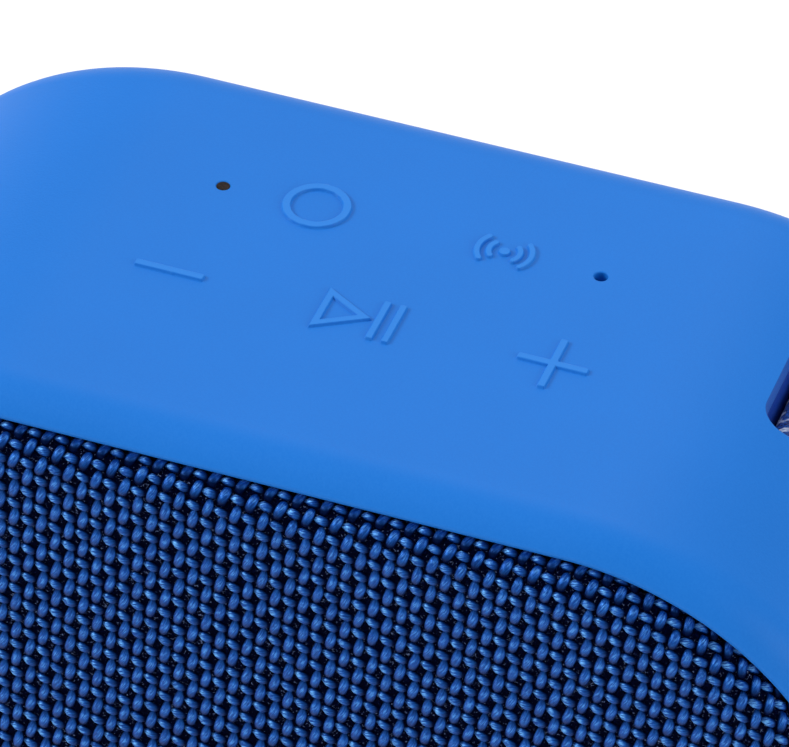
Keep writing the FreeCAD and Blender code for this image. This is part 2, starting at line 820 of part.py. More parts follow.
def status_light():
    at = ("-window_x", "back_row")
    keep(middle_box("1.6", "0.8", "0.8", (*at, "key_board_top")), "status_led")
    pipe = rod("window_radius", f"{TOP_UP} - key_board_top - 1.0", (*at, "key_board_top + 0.95"))
    flange = rod("1.2", "0.8", (*at, "key_board_top + 3"))
    keep(fuse(pipe, flange), "led_lens")


def microphone_set():
    at = ("window_x", "back_row")
    keep(middle_box("3.2", "2.4", "1.0", (*at, "key_board_top")), "microphone")
    sleeve = rod("1.2", "3.4", (*at, "key_board_top + 1.05"))
    channel = rod("window_radius", "3.4", (*at, "key_board_top + 1.05"))
    keep(cut(sleeve, channel), "mic_gasket")


def key_board_screws():
    under = f"{SWITCH_FOOT} - head_thick - 0.05"
    screws = [screw((*at, under), "2.2", Rotation()) for at in HANGERS]
    keep(group(screws), "key_board_screws")


def main_board():
    board = box("40", "23", "board_thick", ("-20", "-6", "main_board_under + 0.05"))
    holes = [rod(PILOT, "board_thick", (*at, "main_board_under + 0.05")) for at in STANDS]
    keep(cut(board, *holes), "main_board")


CHIPS = [
    # across, along, width, depth, height
    (-7.0, 8.0, 6.0, 6.0, 0.9),
    (6.0, 1.0, 5.0, 5.0, 0.9),
    (-8.0, 0.0, 4.0, 3.0, 0.8),
    (12.0, 3.0, 3.0, 3.0, 2.0),
    (9.0, 13.0, 2.0, 1.2, 1.2),
    (-9.5, 14.0, 3.2, 1.6, 0.7),
    (12.5, -2.5, 2.0, 1.2, 1.2),
]


def board_parts():
    parts = []
    for across, along, width, depth, height in CHIPS:
        at = (f"{across}", f"{along}", f"{BOARD_UP} + 0.1")
        parts.append(middle_box(f"{width}", f"{depth}", f"{height}", at))
    keep(group(parts), "board_chips")


# Where the battery's, the speaker's and the key board's leads plug in.
LEAD_SOCKETS = [("-17.9", "3.2"), ("1", "-3.4"), ("15", "8")]


def lead_sockets():
    foot = f"{BOARD_UP} + 0.1"
    sockets = [middle_box("4", "4", "3", (*at, foot)) for at in LEAD_SOCKETS]
    keep(group(sockets), "lead_sockets")


def usb_socket():
    """A charging receptacle on the main board's back edge, open to the back."""
    back = "(body_back - skin_thick - play_gap)"
    can = middle_box("8.94", "7.3", "3.2", ("0", f"{back} - 3.65", f"{BOARD_UP} + 0.1"))
    hollow = middle_box("8.3", "6.5", "2.5", ("0", f"{back} - 3.25", f"{BOARD_UP} + 0.45"))
    tongue = middle_box("6.6", "5.5", "0.7", ("0", f"{back} - 3.85", f"{BOARD_UP} + 1.35"))
    keep(fuse(cut(can, hollow), tongue), "usb_socket")


def board_screws():
    above = f"{BOARD_UP} + 0.1 + head_thick"
    screws = [screw((*at, above), "3.4", DOWNWARD) for at in STANDS]
    keep(group(screws), "board_screws")


# ---- battery ---------------------------------------------------------------------------

CELL_LEFT = "-32"
CELL_UNDER = "20"


def battery():
    block = box("cell_thick", "cell_depth", "cell_high", (CELL_LEFT, "-12", CELL_UNDER))
    doc.recompute()
    cell = doc.addObject("Part::Fillet", "cell")
    cell.Base = block
    upright = [i for i, e in enumerate(block.Shape.Edges, start=1) if e.BoundBox.ZLength > 1]
    cell.Edges = [(i, 2.0, 2.0) for i in upright]
    keep(cell, "battery_cell")
    plate = box("1.5", "30", "31", (f"{CELL_LEFT} - 1.6", "-12", "22"))
    end_lip = box("9", "1.3", "31", (f"{CELL_LEFT} - 1.6", "13.1", "22"))
    keep(fuse(plate, end_lip), "battery_tray")


# ---- inner leads -----------------------------------------------------------------------

def lead_shape(points, radius):
    """A round lead: straight runs joined by arcs as large as the two runs allow."""
    corners = [Vector(*p) for p in points]
    edges = []
    start = corners[0]
    radii = []
    for before, corner, after in zip(corners, corners[1:], corners[2:]):
        inward = (before - corner).normalize()
        outward = (after - corner).normalize()
        turn = math.pi - inward.getAngle(outward)
        setback = 0.45 * min((before - corner).Length, (after - corner).Length)
        bend = setback / math.tan(turn / 2)
        radii.append(round(bend, 1))
        first = corner + inward * setback
        last = corner + outward * setback
        bisector = (inward + outward).normalize()
        middle = corner + bisector * (bend / math.cos(turn / 2) - bend)
        edges.append(Part.LineSegment(start, first).toShape())
        edges.append(Part.Arc(first, middle, last).toShape())
        start = last
    edges.append(Part.LineSegment(start, corners[-1]).toShape())
    path = Part.Wire(edges)
    section = Part.Wire([Part.makeCircle(radius, corners[0], corners[1] - corners[0])])
    solid = path.makePipeShell([section], True, False)
    share = solid.Volume / (math.pi * radius * radius * path.Length)
    print(f"lead: {path.Length:.1f} mm, radii {radii}, volume {share:.4f} of section x length")
    return solid


def lead(label, routes, radius):
    wires = doc.addObject("Part::Feature", label)
    wires.Shape = Part.makeCompound([lead_shape(route, radius) for route in routes])
    keep(wires, label)


def inner_leads():
    socket_mid = number(f"{BOARD_UP} + 1.8")
    cell_under = number(CELL_UNDER)
    battery_routes = []
    for along in (2.4, 4.0):
        battery_routes.append([
            (-28, along, cell_under - 0.02),
            (-28, along, cell_under - 4.0),
            (-24.6, along, socket_mid),
            (-19.92, along, socket_mid),
        ])
    lead("battery_lead", battery_routes, 0.6)
    socket_top = number(f"{BOARD_UP} + 3.12")
    base_under = number(f"{MID_UP} - magnet_radius - 1.02")
    base_along = number(f"{BAFFLE_REAR} + play_gap + basket_depth + flange_thick / 2")
    speaker_routes = []
    for across in (0.2, 1.8):
        speaker_routes.append([
            (across, base_along, base_under),
            (across, base_along, base_under - 3.4),
            (across, -3.4, base_under - 6.4),
            (across, -3.4, socket_top),
        ])
    lead("speaker_lead", speaker_routes, 0.5)
    board_under = number(f"{SWITCH_FOOT} - 0.02")
    key_route = [
        (15, 8, board_under),
        (15, 8, 60),
        (17.5, 9, 50),
        (18.5, 9.5, 38),
        (17.5, 9, 27),
        (15, 8, 20),
        (15, 8, socket_top),
    ]
    lead("key_lead", [key_route], 0.8)


# ---- port cover and strap --------------------------------------------------------------

def port_flap():
    """The silicone cover of the charging port, hinged at its right end seen from the back."""
    body = new_body("port_flap", ("0", "body_back - skin_thick + 0.05", "port_up"))
    sketch = sketch_on(body, "XZ_Plane")
    rounded_rectangle(sketch, "flap_width", "flap_height", "flap_corner")
    feature(body, "Pad", sketch, "skin_thick - 0.05", back=True)
    tab = sketch_on(body, "XZ_Plane", "0.05 - skin_thick")
    rounded_rectangle(tab, "2.4", "4", "0.8", "flap_width / 2 - 2.2")
    feature(body, "Pad", tab, "0.5", back=True)


def strap_leg(start, fall, upright_x, bend, low):
    """One leg of the strap: a sloping run from `start`, a bend, and a run straight down."""
    along = Vector(math.cos(fall), 0, -math.sin(fall))
    down = Vector(0, 0, -1)
    corner = start + along * ((upright_x - start.x) / along.x)
    turn = math.pi / 2 - fall
    setback = bend * math.tan(turn / 2)
    first, last = corner - along * setback, corner + down * setback
    inward = (down - along).normalize()
    middle = corner + inward * (bend / math.cos(turn / 2) - bend)
    return [
        Part.LineSegment(start, first).toShape(),
        Part.Arc(first, middle, last).toShape(),
        Part.LineSegment(last, Vector(upright_x, 0, low)).toShape(),
    ]


def carry_strap():
    """A woven loop round the bar: both legs slope out of the slot, hang down and meet."""
    bar = Vector(number("bar_x"), 0, number("bar_up"))
    wrap = number("strap_wrap")
    fall = math.radians(number("strap_fall"))
    inner_x = number("strap_inner_x")
    end = number("strap_end_radius")
    outer_x = inner_x + 2 * end
    low = number("strap_drop")
    upward = Vector(math.sin(fall), 0, math.cos(fall))
    outward = Vector(math.cos(fall), 0, -math.sin(fall))
    inner_leg = strap_leg(bar - upward * wrap, fall, inner_x, number("strap_inner_bend"), low)
    outer_leg = strap_leg(bar + upward * wrap, fall, outer_x, number("strap_outer_bend"), low)
    round_bar = Part.Arc(bar - upward * wrap, bar - outward * wrap, bar + upward * wrap).toShape()
    bottom = Part.Arc(
        Vector(inner_x, 0, low), Vector(inner_x + end, 0, low - end), Vector(outer_x, 0, low)
    ).toShape()
    path = Part.Wire(Part.__sortEdges__([*inner_leg, bottom, *outer_leg, round_bar]))
    half_thick = number("strap_thick") / 2
    rims = [path.makeOffset2D(way * half_thick) for way in (1, -1)]
    rims.sort(key=lambda wire: wire.BoundBox.DiagonalLength)
    face = Part.Face(rims[1]).cut(Part.Face(rims[0]))
    strap = doc.addObject("Part::Feature", "carry_strap")
    strap.Shape = face.extrude(Vector(0, number("strap_width"), 0)).Solids[0]
    keep(strap, "carry_strap", ("0", "(slot_front + slot_back) / 2 - strap_width / 2", "0"))


def check_and_export():
    """Stops on any failed object or unsound shape, and only then writes the pieces."""
    doc.recompute()
    for thing in doc.Objects:
        if "Invalid" in thing.State or "Error" in thing.State:
            raise RuntimeError(f"{thing.Label} is {thing.State}")
    for piece in PIECES:
        shape = piece.Shape
        if shape.isNull() or not shape.isValid() or not shape.Solids:
            raise RuntimeError(f"{piece.Label} has no sound solid")
    os.makedirs("parts", exist_ok=True)
    for piece in PIECES:
        piece.Shape.exportStep(f"parts/{piece.Label}.step")
        print(f"{piece.Label}: {len(piece.Shape.Solids)} solid(s), {piece.Shape.Volume:.1f} mm3")


silicone_skin()
rear_shell()
seal_ring()
front_baffle()
strap_cup()
strap_bar()
base_foot()
grille_cloth()
grille_panel()
driver_frame()
driver_magnet()
driver_yoke()
driver_surround()
driver_spider()
driver_cone()
voice_coil()
dust_cap()
driver_screws()
housing_screws()
passive_radiator()
for key_label in KEYS:
    key(key_label)
key_board()
tact_switches()
status_light()
microphone_set()
key_board_screws()
main_board()
board_parts()
lead_sockets()
usb_socket()
board_screws()
battery()
inner_leads()
port_flap()
carry_strap()
check_and_export()
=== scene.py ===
"""Looks of a compact portable speaker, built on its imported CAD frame.

Metres.  X to the right, Y to the back, Z up; the origin is the middle of the base.
"""

import json
import math
from types import SimpleNamespace

import bpy
import numpy as np
from mathutils import Matrix, Vector
from mathutils.geometry import delaunay_2d_cdt


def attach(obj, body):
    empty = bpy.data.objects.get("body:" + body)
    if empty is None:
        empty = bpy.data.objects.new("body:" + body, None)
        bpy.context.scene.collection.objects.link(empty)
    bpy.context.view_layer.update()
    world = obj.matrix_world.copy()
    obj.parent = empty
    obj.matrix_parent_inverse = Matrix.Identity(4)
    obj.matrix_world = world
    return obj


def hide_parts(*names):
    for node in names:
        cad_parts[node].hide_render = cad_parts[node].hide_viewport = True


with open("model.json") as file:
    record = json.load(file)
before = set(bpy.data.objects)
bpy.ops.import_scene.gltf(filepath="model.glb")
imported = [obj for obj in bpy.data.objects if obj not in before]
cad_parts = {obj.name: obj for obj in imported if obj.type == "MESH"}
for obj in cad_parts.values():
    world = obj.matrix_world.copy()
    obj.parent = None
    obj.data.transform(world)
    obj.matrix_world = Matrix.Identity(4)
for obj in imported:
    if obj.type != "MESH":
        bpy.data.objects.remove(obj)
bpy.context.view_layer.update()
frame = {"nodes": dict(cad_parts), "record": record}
MM = 0.001

# ---- camera, floor and light ----

CAMERA_AT = (0.122257, -0.357826, 0.383363)
AZIMUTH, ELEVATION, ROLL = 18.643, 39.881, 1.615
LENS, SENSOR = 314.5, 36.0


def add_camera():
    data = bpy.data.cameras.new("camera")
    data.lens = LENS
    data.sensor_width = SENSOR
    data.clip_start = 0.05
    data.clip_end = 100.0
    camera = bpy.data.objects.new("camera", data)
    turn = Matrix.Rotation(math.radians(AZIMUTH), 4, "Z")
    tilt = Matrix.Rotation(math.radians(90.0 - ELEVATION), 4, "X")
    roll = Matrix.Rotation(math.radians(ROLL), 4, "Z")
    camera.matrix_world = Matrix.Translation(CAMERA_AT) @ turn @ tilt @ roll
    bpy.context.scene.collection.objects.link(camera)
    bpy.context.scene.camera = camera


def sun(name, azimuth, elevation, strength, spread):
    """A soft, distant light from a compass direction: 0 is the front, 90 the right side."""
    data = bpy.data.lights.new(name, "SUN")
    data.energy = strength
    data.angle = math.radians(spread)
    light = bpy.data.objects.new(name, data)
    a, e = math.radians(azimuth), math.radians(elevation)
    toward = Vector((math.sin(a) * math.cos(e), -math.cos(a) * math.cos(e), math.sin(e)))
    light.rotation_mode = "QUATERNION"
    light.rotation_quaternion = toward.to_track_quat("Z", "Y")
    bpy.context.scene.collection.objects.link(light)


def add_light():
    world = bpy.data.worlds.new("studio")
    world.use_nodes = True
    background = world.node_tree.nodes["Background"]
    background.inputs["Color"].default_value = (1.0, 1.0, 1.0, 1.0)
    background.inputs["Strength"].default_value = 0.57
    bpy.context.scene.world = world
    sun("left_softbox", -74.0, 32.0, 1.8, 20.0)
    sun("right_softbox", 80.0, 20.0, 0.9, 30.0)
    sun("rear_softbox", 190.0, 58.0, 0.8, 30.0)


# ---- node materials ----

class Nodes:
    """Short ways to add and join the nodes of one material."""

    def __init__(self, name):
        self.material = bpy.data.materials.new(name)
        self.material.use_nodes = True
        self.tree = self.material.node_tree
        self.shader = self.tree.nodes["Principled BSDF"]
        self.place = self.add("ShaderNodeTexCoord").outputs["Object"]

    def add(self, kind, inputs=None, **values):
        """A node with its own values and its inputs set."""
        node = self.tree.nodes.new(kind)
        for name, value in values.items():
            setattr(node, name, value)
        for name, value in (inputs or {}).items():
            self.put(node.inputs[name], value)
        return node

    def put(self, socket, value):
        """Sets a socket to a number or colour, or joins it to another node's output."""
        if isinstance(value, bpy.types.NodeSocket):
            self.tree.links.new(value, socket)
        else:
            socket.default_value = value

    def finish(self, **values):
        """Sets the shader's own sockets by name, with spaces written as underscores."""
        for name, value in values.items():
            self.put(self.shader.inputs[name.replace("_", " ")], value)
        return self.material

    def noise(self, size, detail, where=None, rough=0.5):
        """A noise whose features are about `size` metres across."""
        place = where or self.place
        inputs = {"Scale": 1.0 / size, "Detail": detail, "Roughness": rough, "Vector": place}
        return self.add("ShaderNodeTexNoise", inputs).outputs["Fac"]

    def cells(self, size, where):
        """Distance to the edges of cells about `size` metres across."""
        inputs = {"Scale": 1.0 / size, "Vector": where}
        node = self.add("ShaderNodeTexVoronoi", inputs, feature="DISTANCE_TO_EDGE")
        return node.outputs["Distance"]

    def stretched(self, scale):
        inputs = {"Scale": scale, "Vector": self.place}
        return self.add("ShaderNodeMapping", inputs).outputs["Vector"]

    def combined(self, *values):
        """A vector made of three numbers."""
        return self.add("ShaderNodeCombineXYZ", dict(enumerate(values))).outputs[0]

    def parts(self, vector):
        """The three numbers of a vector."""
        return self.add("ShaderNodeSeparateXYZ", {0: vector}).outputs

    def span(self, value, low, high, to_low=0.0, to_high=1.0):
        """Maps a value from low..high to to_low..to_high, held at the ends."""
        names = ("Value", "From Min", "From Max", "To Min", "To Max")
        inputs = dict(zip(names, (value, low, high, to_low, to_high)))
        return self.add("ShaderNodeMapRange", inputs).outputs["Result"]

    def math(self, operation, first, second):
        inputs = {0: first, 1: second}
        return self.add("ShaderNodeMath", inputs, operation=operation).outputs[0]

    def mix(self, share, first, second):
        """A colour between two colours, which the node's inputs 6 and 7 take."""
        inputs = {"Factor": share, 6: first, 7: second}
        return self.add("ShaderNodeMix", inputs, data_type="RGBA").outputs[2]

    def bump(self, height, depth, under=None):
        """A bump of `depth` metres."""
        inputs = {"Strength": 1.0, "Distance": depth, "Height": height}
        if under is not None:
            inputs["Normal"] = under
        return self.add("ShaderNodeBump", inputs).outputs["Normal"]

    def attribute(self, name):
        """A vector stored on the mesh."""
        return self.add("ShaderNodeAttribute", attribute_name=name).outputs["Vector"]

    def level(self, name):
        """A number stored on the mesh; 0 where the mesh has none."""
        return self.add("ShaderNodeAttribute", attribute_name=name).outputs["Fac"]


def linear(red, green, blue):
    """A colour given as 0..255 sRGB values, made linear."""
    def channel(value):
        value /= 255.0
        return value / 12.92 if value <= 0.04045 else ((value + 0.055) / 1.055) ** 2.4

    return (channel(red), channel(green), channel(blue), 1.0)


def scaled(colour, share, lift=0.0):
    """A lighter or darker colour, held at white."""
    return tuple(min(1.0, share * c + lift) for c in colour[:3]) + (1.0,)


def silicone(name):
    """Matte moulded silicone with a fine eggshell grain and faint clouding.

    It carries a painted highlight on the raised symbols and painted shade on the strap slot's lip.
    """
    m = Nodes(name)
    cloud = m.noise(9 * MM, 3.0)
    grain = m.noise(0.16 * MM, 2.0)
    base = linear(14, 111, 204)
    colour = m.mix(m.span(cloud, 0.35, 0.65), base, scaled(base, 0.975))
    fleck = m.mix(m.span(grain, 0.4, 0.6, 0.0, 0.12), colour, linear(40, 131, 220))
    # painted highlight: lighter toward the top of each raised symbol
    painted_symbol_highlight = m.mix(m.math("MULTIPLY", m.level("raised"), 0.28), fleck, linear(58, 146, 234))
    coarse = m.bump(m.noise(0.5 * MM, 2.0), 0.006 * MM)
    return m.finish(
        # painted shade on the strap slot's lip, as if it lay in shadow
        Base_Color=m.mix(m.math("MULTIPLY", m.level("painted_lip_shade"), 0.75), painted_symbol_highlight, linear(4, 58, 146)),
        Roughness=m.span(grain, 0.3, 0.7, 0.46, 0.54),
        Specular_IOR_Level=0.2,
        Sheen_Weight=0.13,
        Sheen_Roughness=0.3,
        Sheen_Tint=linear(205, 220, 255),
        Normal=m.bump(grain, 0.011 * MM, coarse),
    )


def yarn_cloth(name):
    """Spun polyester yarn: twisted fibres, with a painted highlight near the top of each float and
    painted shade where it dives.
    """
    m = Nodes(name)
    across, along, lot = m.parts(m.attribute("yarn"))
    twist = m.math("ADD", across, m.math("MULTIPLY", along, 0.35))
    where = m.combined(twist, m.math("MULTIPLY", along, 0.16), m.math("MULTIPLY", lot, 37.0))
    fibre = m.noise(0.085, 3.0, where, 0.6)
    patch = m.noise(1.4 * MM, 2.0)
    body = m.mix(m.span(patch, 0.35, 0.65), linear(3, 48, 130), linear(6, 58, 146))
    # Painted light on the yarn: lighter at the top of each float, darker on its sides and where it
    # dives.
    painted_float_light = m.level("painted_float_light")
    # Painted highlight colour for the tops of the floats.
    painted_highlight = m.mix(m.span(painted_float_light, 0.78, 1.15), linear(30, 102, 198), linear(116, 190, 255))
    strand = m.mix(m.span(fibre, 0.45, 0.63, 0.0, 0.85), body, painted_highlight)
    # Painted shade where the yarn dives under its neighbours.
    painted_dive_shade = m.mix(m.span(painted_float_light, 0.2, 0.9), linear(1, 10, 48), strand)
    dark = m.mix(m.span(fibre, 0.3, 0.44, 0.6, 0.0), painted_dive_shade, linear(2, 18, 68))
    return m.finish(
        Base_Color=dark,
        Roughness=m.span(fibre, 0.3, 0.7, 0.4, 0.28),
        Metallic=0.2,
        IOR=1.7,
        Specular_IOR_Level=m.span(painted_float_light, 0.2, 0.8, 0.1, 1.0),
        Specular_Tint=linear(84, 160, 255),
        Normal=m.bump(fibre, 0.05 * MM),
    )


def net_cloth(name):
    """Near-black backing net whose threads carry small painted glints."""
    m = Nodes(name)
    slant = m.stretched((1.0, 1.0, 1.35))
    holes = m.cells(0.3 * MM, slant)
    thread = m.span(holes, 0.02, 0.11, 1.0, 0.0)
    # painted glints: a pale colour on some threads, which are also glossier there
    painted_glint = m.math("MULTIPLY", thread, m.span(m.noise(0.2 * MM, 2.0), 0.58, 0.68))
    base = m.mix(thread, linear(1, 2, 20), linear(3, 10, 44))
    return m.finish(
        Base_Color=m.mix(painted_glint, base, linear(110, 130, 175)),
        Roughness=m.span(painted_glint, 0.0, 1.0, 0.8, 0.35),
        Specular_IOR_Level=0.04,
        Specular_Tint=linear(90, 130, 255),
        Normal=m.bump(thread, 0.05 * MM),
    )


def strap_cloth(name):
    """Webbing in which blue and pale threads come up by turns."""
    m = Nodes(name)
    across, along, side = m.parts(m.attribute("band"))
    where = m.combined(across, m.math("MULTIPLY", along, 0.3), side)
    fibre = m.noise(0.09 * MM, 2.0, where, 0.6)
    fleck = m.noise(0.16 * MM, 2.0, where, 0.6)
    blue = m.mix(m.span(fibre, 0.38, 0.62), linear(2, 30, 90), linear(26, 100, 200))
    pale = m.mix(m.span(fibre, 0.38, 0.62), linear(84, 122, 186), linear(226, 236, 250))
    share = m.math("ADD", m.level("tone"), m.math("MULTIPLY", fleck, 0.3))
    return m.finish(
        Base_Color=m.mix(m.span(share, 0.72, 0.78), blue, pale),
        Roughness=m.span(fibre, 0.3, 0.7, 0.7, 0.55),
        Sheen_Weight=0.08,
        Sheen_Roughness=0.4,
        Normal=m.bump(fibre, 0.03 * MM),
    )


def moulded(name, colour, grain, rough, metal=0.0, depth=0.006, spec=0.5):
    """Moulded plastic or cast metal with a spark-eroded grain and slight colour drift."""
    m = Nodes(name)
    fine = m.noise(grain * MM, 3.0)
    drift = m.noise(grain * 40 * MM, 2.0)
    shade = m.math("ADD", m.math("MULTIPLY", fine, 0.45), m.math("MULTIPLY", drift, 0.55))
    return m.finish(
        Base_Color=m.mix(m.span(shade, 0.4, 0.6), colour, scaled(colour, 1.25, 0.004)),
        Roughness=m.span(fine, 0.3, 0.7, rough[0], rough[1]),
        Metallic=metal,
        Specular_IOR_Level=spec,
        Normal=m.bump(fine, depth * MM),
    )


def brushed(name, colour, rough=(0.22, 0.38), length=(1.0, 1.0, 24.0)):
    """Metal with fine lines drawn one way."""
    m = Nodes(name)
    lines = m.noise(0.9 * MM, 3.0, m.stretched(length), 0.7)
    return m.finish(
        Base_Color=m.mix(m.span(lines, 0.35, 0.65), colour, scaled(colour, 1.2)),
        Roughness=m.span(lines, 0.35, 0.65, rough[0], rough[1]),
        Metallic=1.0,
        Normal=m.bump(lines, 0.004 * MM),
    )


def fibrous(name, colour, size=0.12):
    """Pressed paper or impregnated cloth."""
    m = Nodes(name)
    hair = m.noise(size * MM, 4.0, m.stretched((1.0, 3.0, 1.0)), 0.7)
    return m.finish(
        Base_Color=m.mix(m.span(hair, 0.35, 0.65), scaled(colour, 0.6), colour),
        Roughness=0.85,
        Sheen_Weight=0.15,
        Normal=m.bump(hair, 0.03 * MM),
    )


def smoked_glass(name):
    """A dark brown light pipe, polished, with faint flow lines."""
    m = Nodes(name)
    flow = m.noise(0.3 * MM, 2.0, m.stretched((1.0, 1.0, 0.2)))
    return m.finish(
        Base_Color=m.mix(m.span(flow, 0.35, 0.65), linear(20, 9, 8), linear(34, 17, 14)),
        Roughness=m.span(flow, 0.3, 0.7, 0.2, 0.32),
        Specular_IOR_Level=0.15,
        Normal=m.bump(flow, 0.003 * MM),
    )


def pale_floor(name):
    """Plain white paper."""
    m = Nodes(name)
    grain = m.noise(4 * MM, 4.0)
    paper = (0.96, 0.96, 0.96, 1.0)
    shade = (0.93, 0.93, 0.93, 1.0)
    return m.finish(
        Base_Color=m.mix(m.span(grain, 0.35, 0.65), shade, paper),
        Roughness=m.span(grain, 0.3, 0.7, 0.85, 0.95),
        Specular_IOR_Level=0.1,
    )


# colour, grain in mm and roughness, then metallic, bump in mm and specular level if unusual
MOULDED = {
    "dark_housing": ((16, 26, 56), 0.2, (0.5, 0.65)),
    "slot_cup": ((8, 52, 140), 0.2, (0.45, 0.6), 0.0, 0.006, 0.2),
    "black_rubber": ((24, 25, 28), 0.3, (0.65, 0.8), 0.0, 0.012, 0.35),
    "grille_plastic": ((15, 18, 30), 0.2, (0.5, 0.65)),
    "magnet": ((52, 54, 58), 0.15, (0.4, 0.6), 0.6, 0.01),
    "circuit_board": ((14, 74, 44), 0.3, (0.3, 0.45), 0.0, 0.01),
    "chip_plastic": ((28, 28, 30), 0.1, (0.4, 0.55)),
    "connector_plastic": ((214, 210, 200), 0.2, (0.4, 0.5)),
    "cell_foil": ((150, 156, 166), 0.5, (0.25, 0.4), 0.5, 0.02),
    "lead_sleeve": ((40, 40, 44), 0.2, (0.4, 0.5)),
}


def make_materials():
    """One finish for each of the record's material slots, and the bluer one of the strap's cup."""
    made = {slot: moulded(slot, linear(*tone), *rest) for slot, (tone, *rest) in MOULDED.items()}
    drawn = (20.0, 1.0, 1.0)
    wound = (1.0, 18.0, 1.0)
    made.update({
        "blue_silicone": silicone("blue_silicone"),
        "blue_cloth": yarn_cloth("blue_yarn"),
        "woven_strap": strap_cloth("woven_strap"),
        "steel": brushed("steel", linear(168, 170, 174)),
        "copper_coil": brushed("copper_coil", linear(196, 118, 74), (0.25, 0.4), wound),
        "radiator_metal": brushed("radiator_metal", linear(60, 64, 74), (0.32, 0.45), drawn),
        "paper_cone": fibrous("paper_cone", linear(52, 50, 50)),
        "spider_cloth": fibrous("spider_cloth", linear(196, 160, 96), 0.3),
        "smoked_lens": smoked_glass("smoked_lens"),
    })
    return made


# ---- mesh helpers ----

def mesh_piece(name, points, faces, material, body, normals=None):
    """A mesh object in the row frame, in millimetres, riding on a CAD body."""
    data = bpy.data.meshes.new(name)
    data.from_pydata((np.asarray(points, float) * MM).tolist(), [], [tuple(map(int, f)) for f in faces])
    data.shade_smooth()
    if normals is not None:
        data.normals_split_custom_set_from_vertices(np.asarray(normals, float).tolist())
    data.materials.append(material)
    piece = bpy.data.objects.new(name, data)
    bpy.context.scene.collection.objects.link(piece)
    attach(piece, body)
    return piece


def store(piece, name, values):
    """Stores a number or a vector at every vertex of a piece."""
    values = np.asarray(values, np.float32)
    kind, field = ("FLOAT_VECTOR", "vector") if values.ndim == 2 else ("FLOAT", "value")
    piece.data.attributes.new(name, kind, "POINT").data.foreach_set(field, values.ravel())


class Patchwork:
    """Patches of vertices with exact normals; equal vertices with equal normals are joined."""

    def __init__(self):
        self.points, self.normals, self.faces, self.known = [], [], [], {}

    def vertex(self, point, normal):
        key = tuple(round(float(v), 4) for v in point) + tuple(round(float(v), 1) for v in normal)
        if key not in self.known:
            self.known[key] = len(self.points)
            self.points.append(tuple(map(float, point)))
            self.normals.append(tuple(map(float, normal)))
        return self.known[key]

    def patch(self, points, normals, faces):
        index = [self.vertex(p, n) for p, n in zip(points, normals)]
        for face in faces:
            ids = [index[k] for k in face]
            ids = [v for k, v in enumerate(ids) if v != ids[k - 1]]
            if len(ids) > 2:
                self.faces.append(ids if self.faces_out(ids) else ids[::-1])

    def faces_out(self, ids):
        """Whether a face's own normal agrees with its vertices' normals."""
        p = [self.points[k] for k in ids]
        a = [u - v for u, v in zip(p[2], p[0])]
        b = [u - v for u, v in zip(p[-1], p[1])]
        own = (a[1] * b[2] - a[2] * b[1], a[2] * b[0] - a[0] * b[2], a[0] * b[1] - a[1] * b[0])
        return sum(own[k] * sum(self.normals[v][k] for v in ids) for k in range(3)) >= 0

    def strip(self, rows, normals, closed=False):
        """Quads between following rows of points, each row the same length."""
        rows, normals = np.asarray(rows, float), np.asarray(normals, float)
        count, width = rows.shape[:2]
        quads = []
        for r in range(count - 1):
            for c in range(width if closed else width - 1):
                d = (c + 1) % width
                quads.append((r * width + c, r * width + d, (r + 1) * width + d, (r + 1) * width + c))
        self.patch(rows.reshape(-1, 3), normals.reshape(-1, 3), quads)


def fill_flat(outline, holes, inner=()):
    """Triangles that fill a 2D outline, less its holes.  Returns points and faces."""
    points, edges = [], []
    for loop in (outline, *holes):
        first = len(points)
        points += [Vector((float(x), float(y))) for x, y in loop]
        edges += [(first + k, first + (k + 1) % len(loop)) for k in range(len(loop))]
    points += [Vector((float(x), float(y))) for x, y in inner]
    made = delaunay_2d_cdt(points, edges, [], 0, 1e-7)
    where = np.array([tuple(p) for p in made[0]])
    triangles = np.array(made[2])
    middle = where[triangles].mean(axis=1)
    keep = inside(middle, outline)
    for hole in holes:
        keep &= ~inside(middle, hole)
    return where, triangles[keep]


def inside(points, loop):
    """Which points lie in a closed 2D loop."""
    x, y = points[:, 0], points[:, 1]
    hit = np.zeros(len(points), bool)
    loop = np.asarray(loop, float)
    for (x0, y0), (x1, y1) in zip(loop, np.roll(loop, -1, axis=0)):
        if y0 != y1:
            crosses = (y0 > y) != (y1 > y)
            hit ^= crosses & (x < (x1 - x0) * (y - y0) / (y1 - y0) + x0)
    return hit


def rounded_loop(half_w, half_h, radius, arc_steps, line_steps):
    """A rounded rectangle round the origin: 2D points and outward normals, anticlockwise."""
    in_w, in_h = half_w - radius, half_h - radius
    corners = [(in_w, -in_h), (in_w, in_h), (-in_w, in_h), (-in_w, -in_h)]
    points, normals = [], []
    for number, corner in enumerate(corners):
        centre = np.array(corner)
        for k in range(arc_steps + 1):
            out = polar(math.radians(90.0 * (number - 1) + 90.0 * k / arc_steps))
            points.append(centre + radius * out)
            normals.append(out)
        last, reach = points[-1], np.array(corners[(number + 1) % 4]) - centre
        steps = line_steps[number % 2]
        for k in range(1, steps):
            points.append(last + reach * k / steps)
            normals.append(out)
    return np.array(points), np.array(normals)


def polar(angle):
    """A place on the unit circle."""
    return np.array((math.cos(angle), math.sin(angle)))


def arc(start, end, steps):
    """Angles in radians from `start` to `end` degrees."""
    return [math.radians(start + (end - start) * k / steps) for k in range(steps + 1)]


# ---- silicone skin ----

HALF_W, HALF_H, CORNER = 45.0, 37.1, 24.4
MID_UP, TOP_UP = 37.9, 75.0
FRONT_EDGE, BACK_EDGE = -16.7, 17.25
FRONT_ROUND, BACK_ROUND = 3.9, 4.5
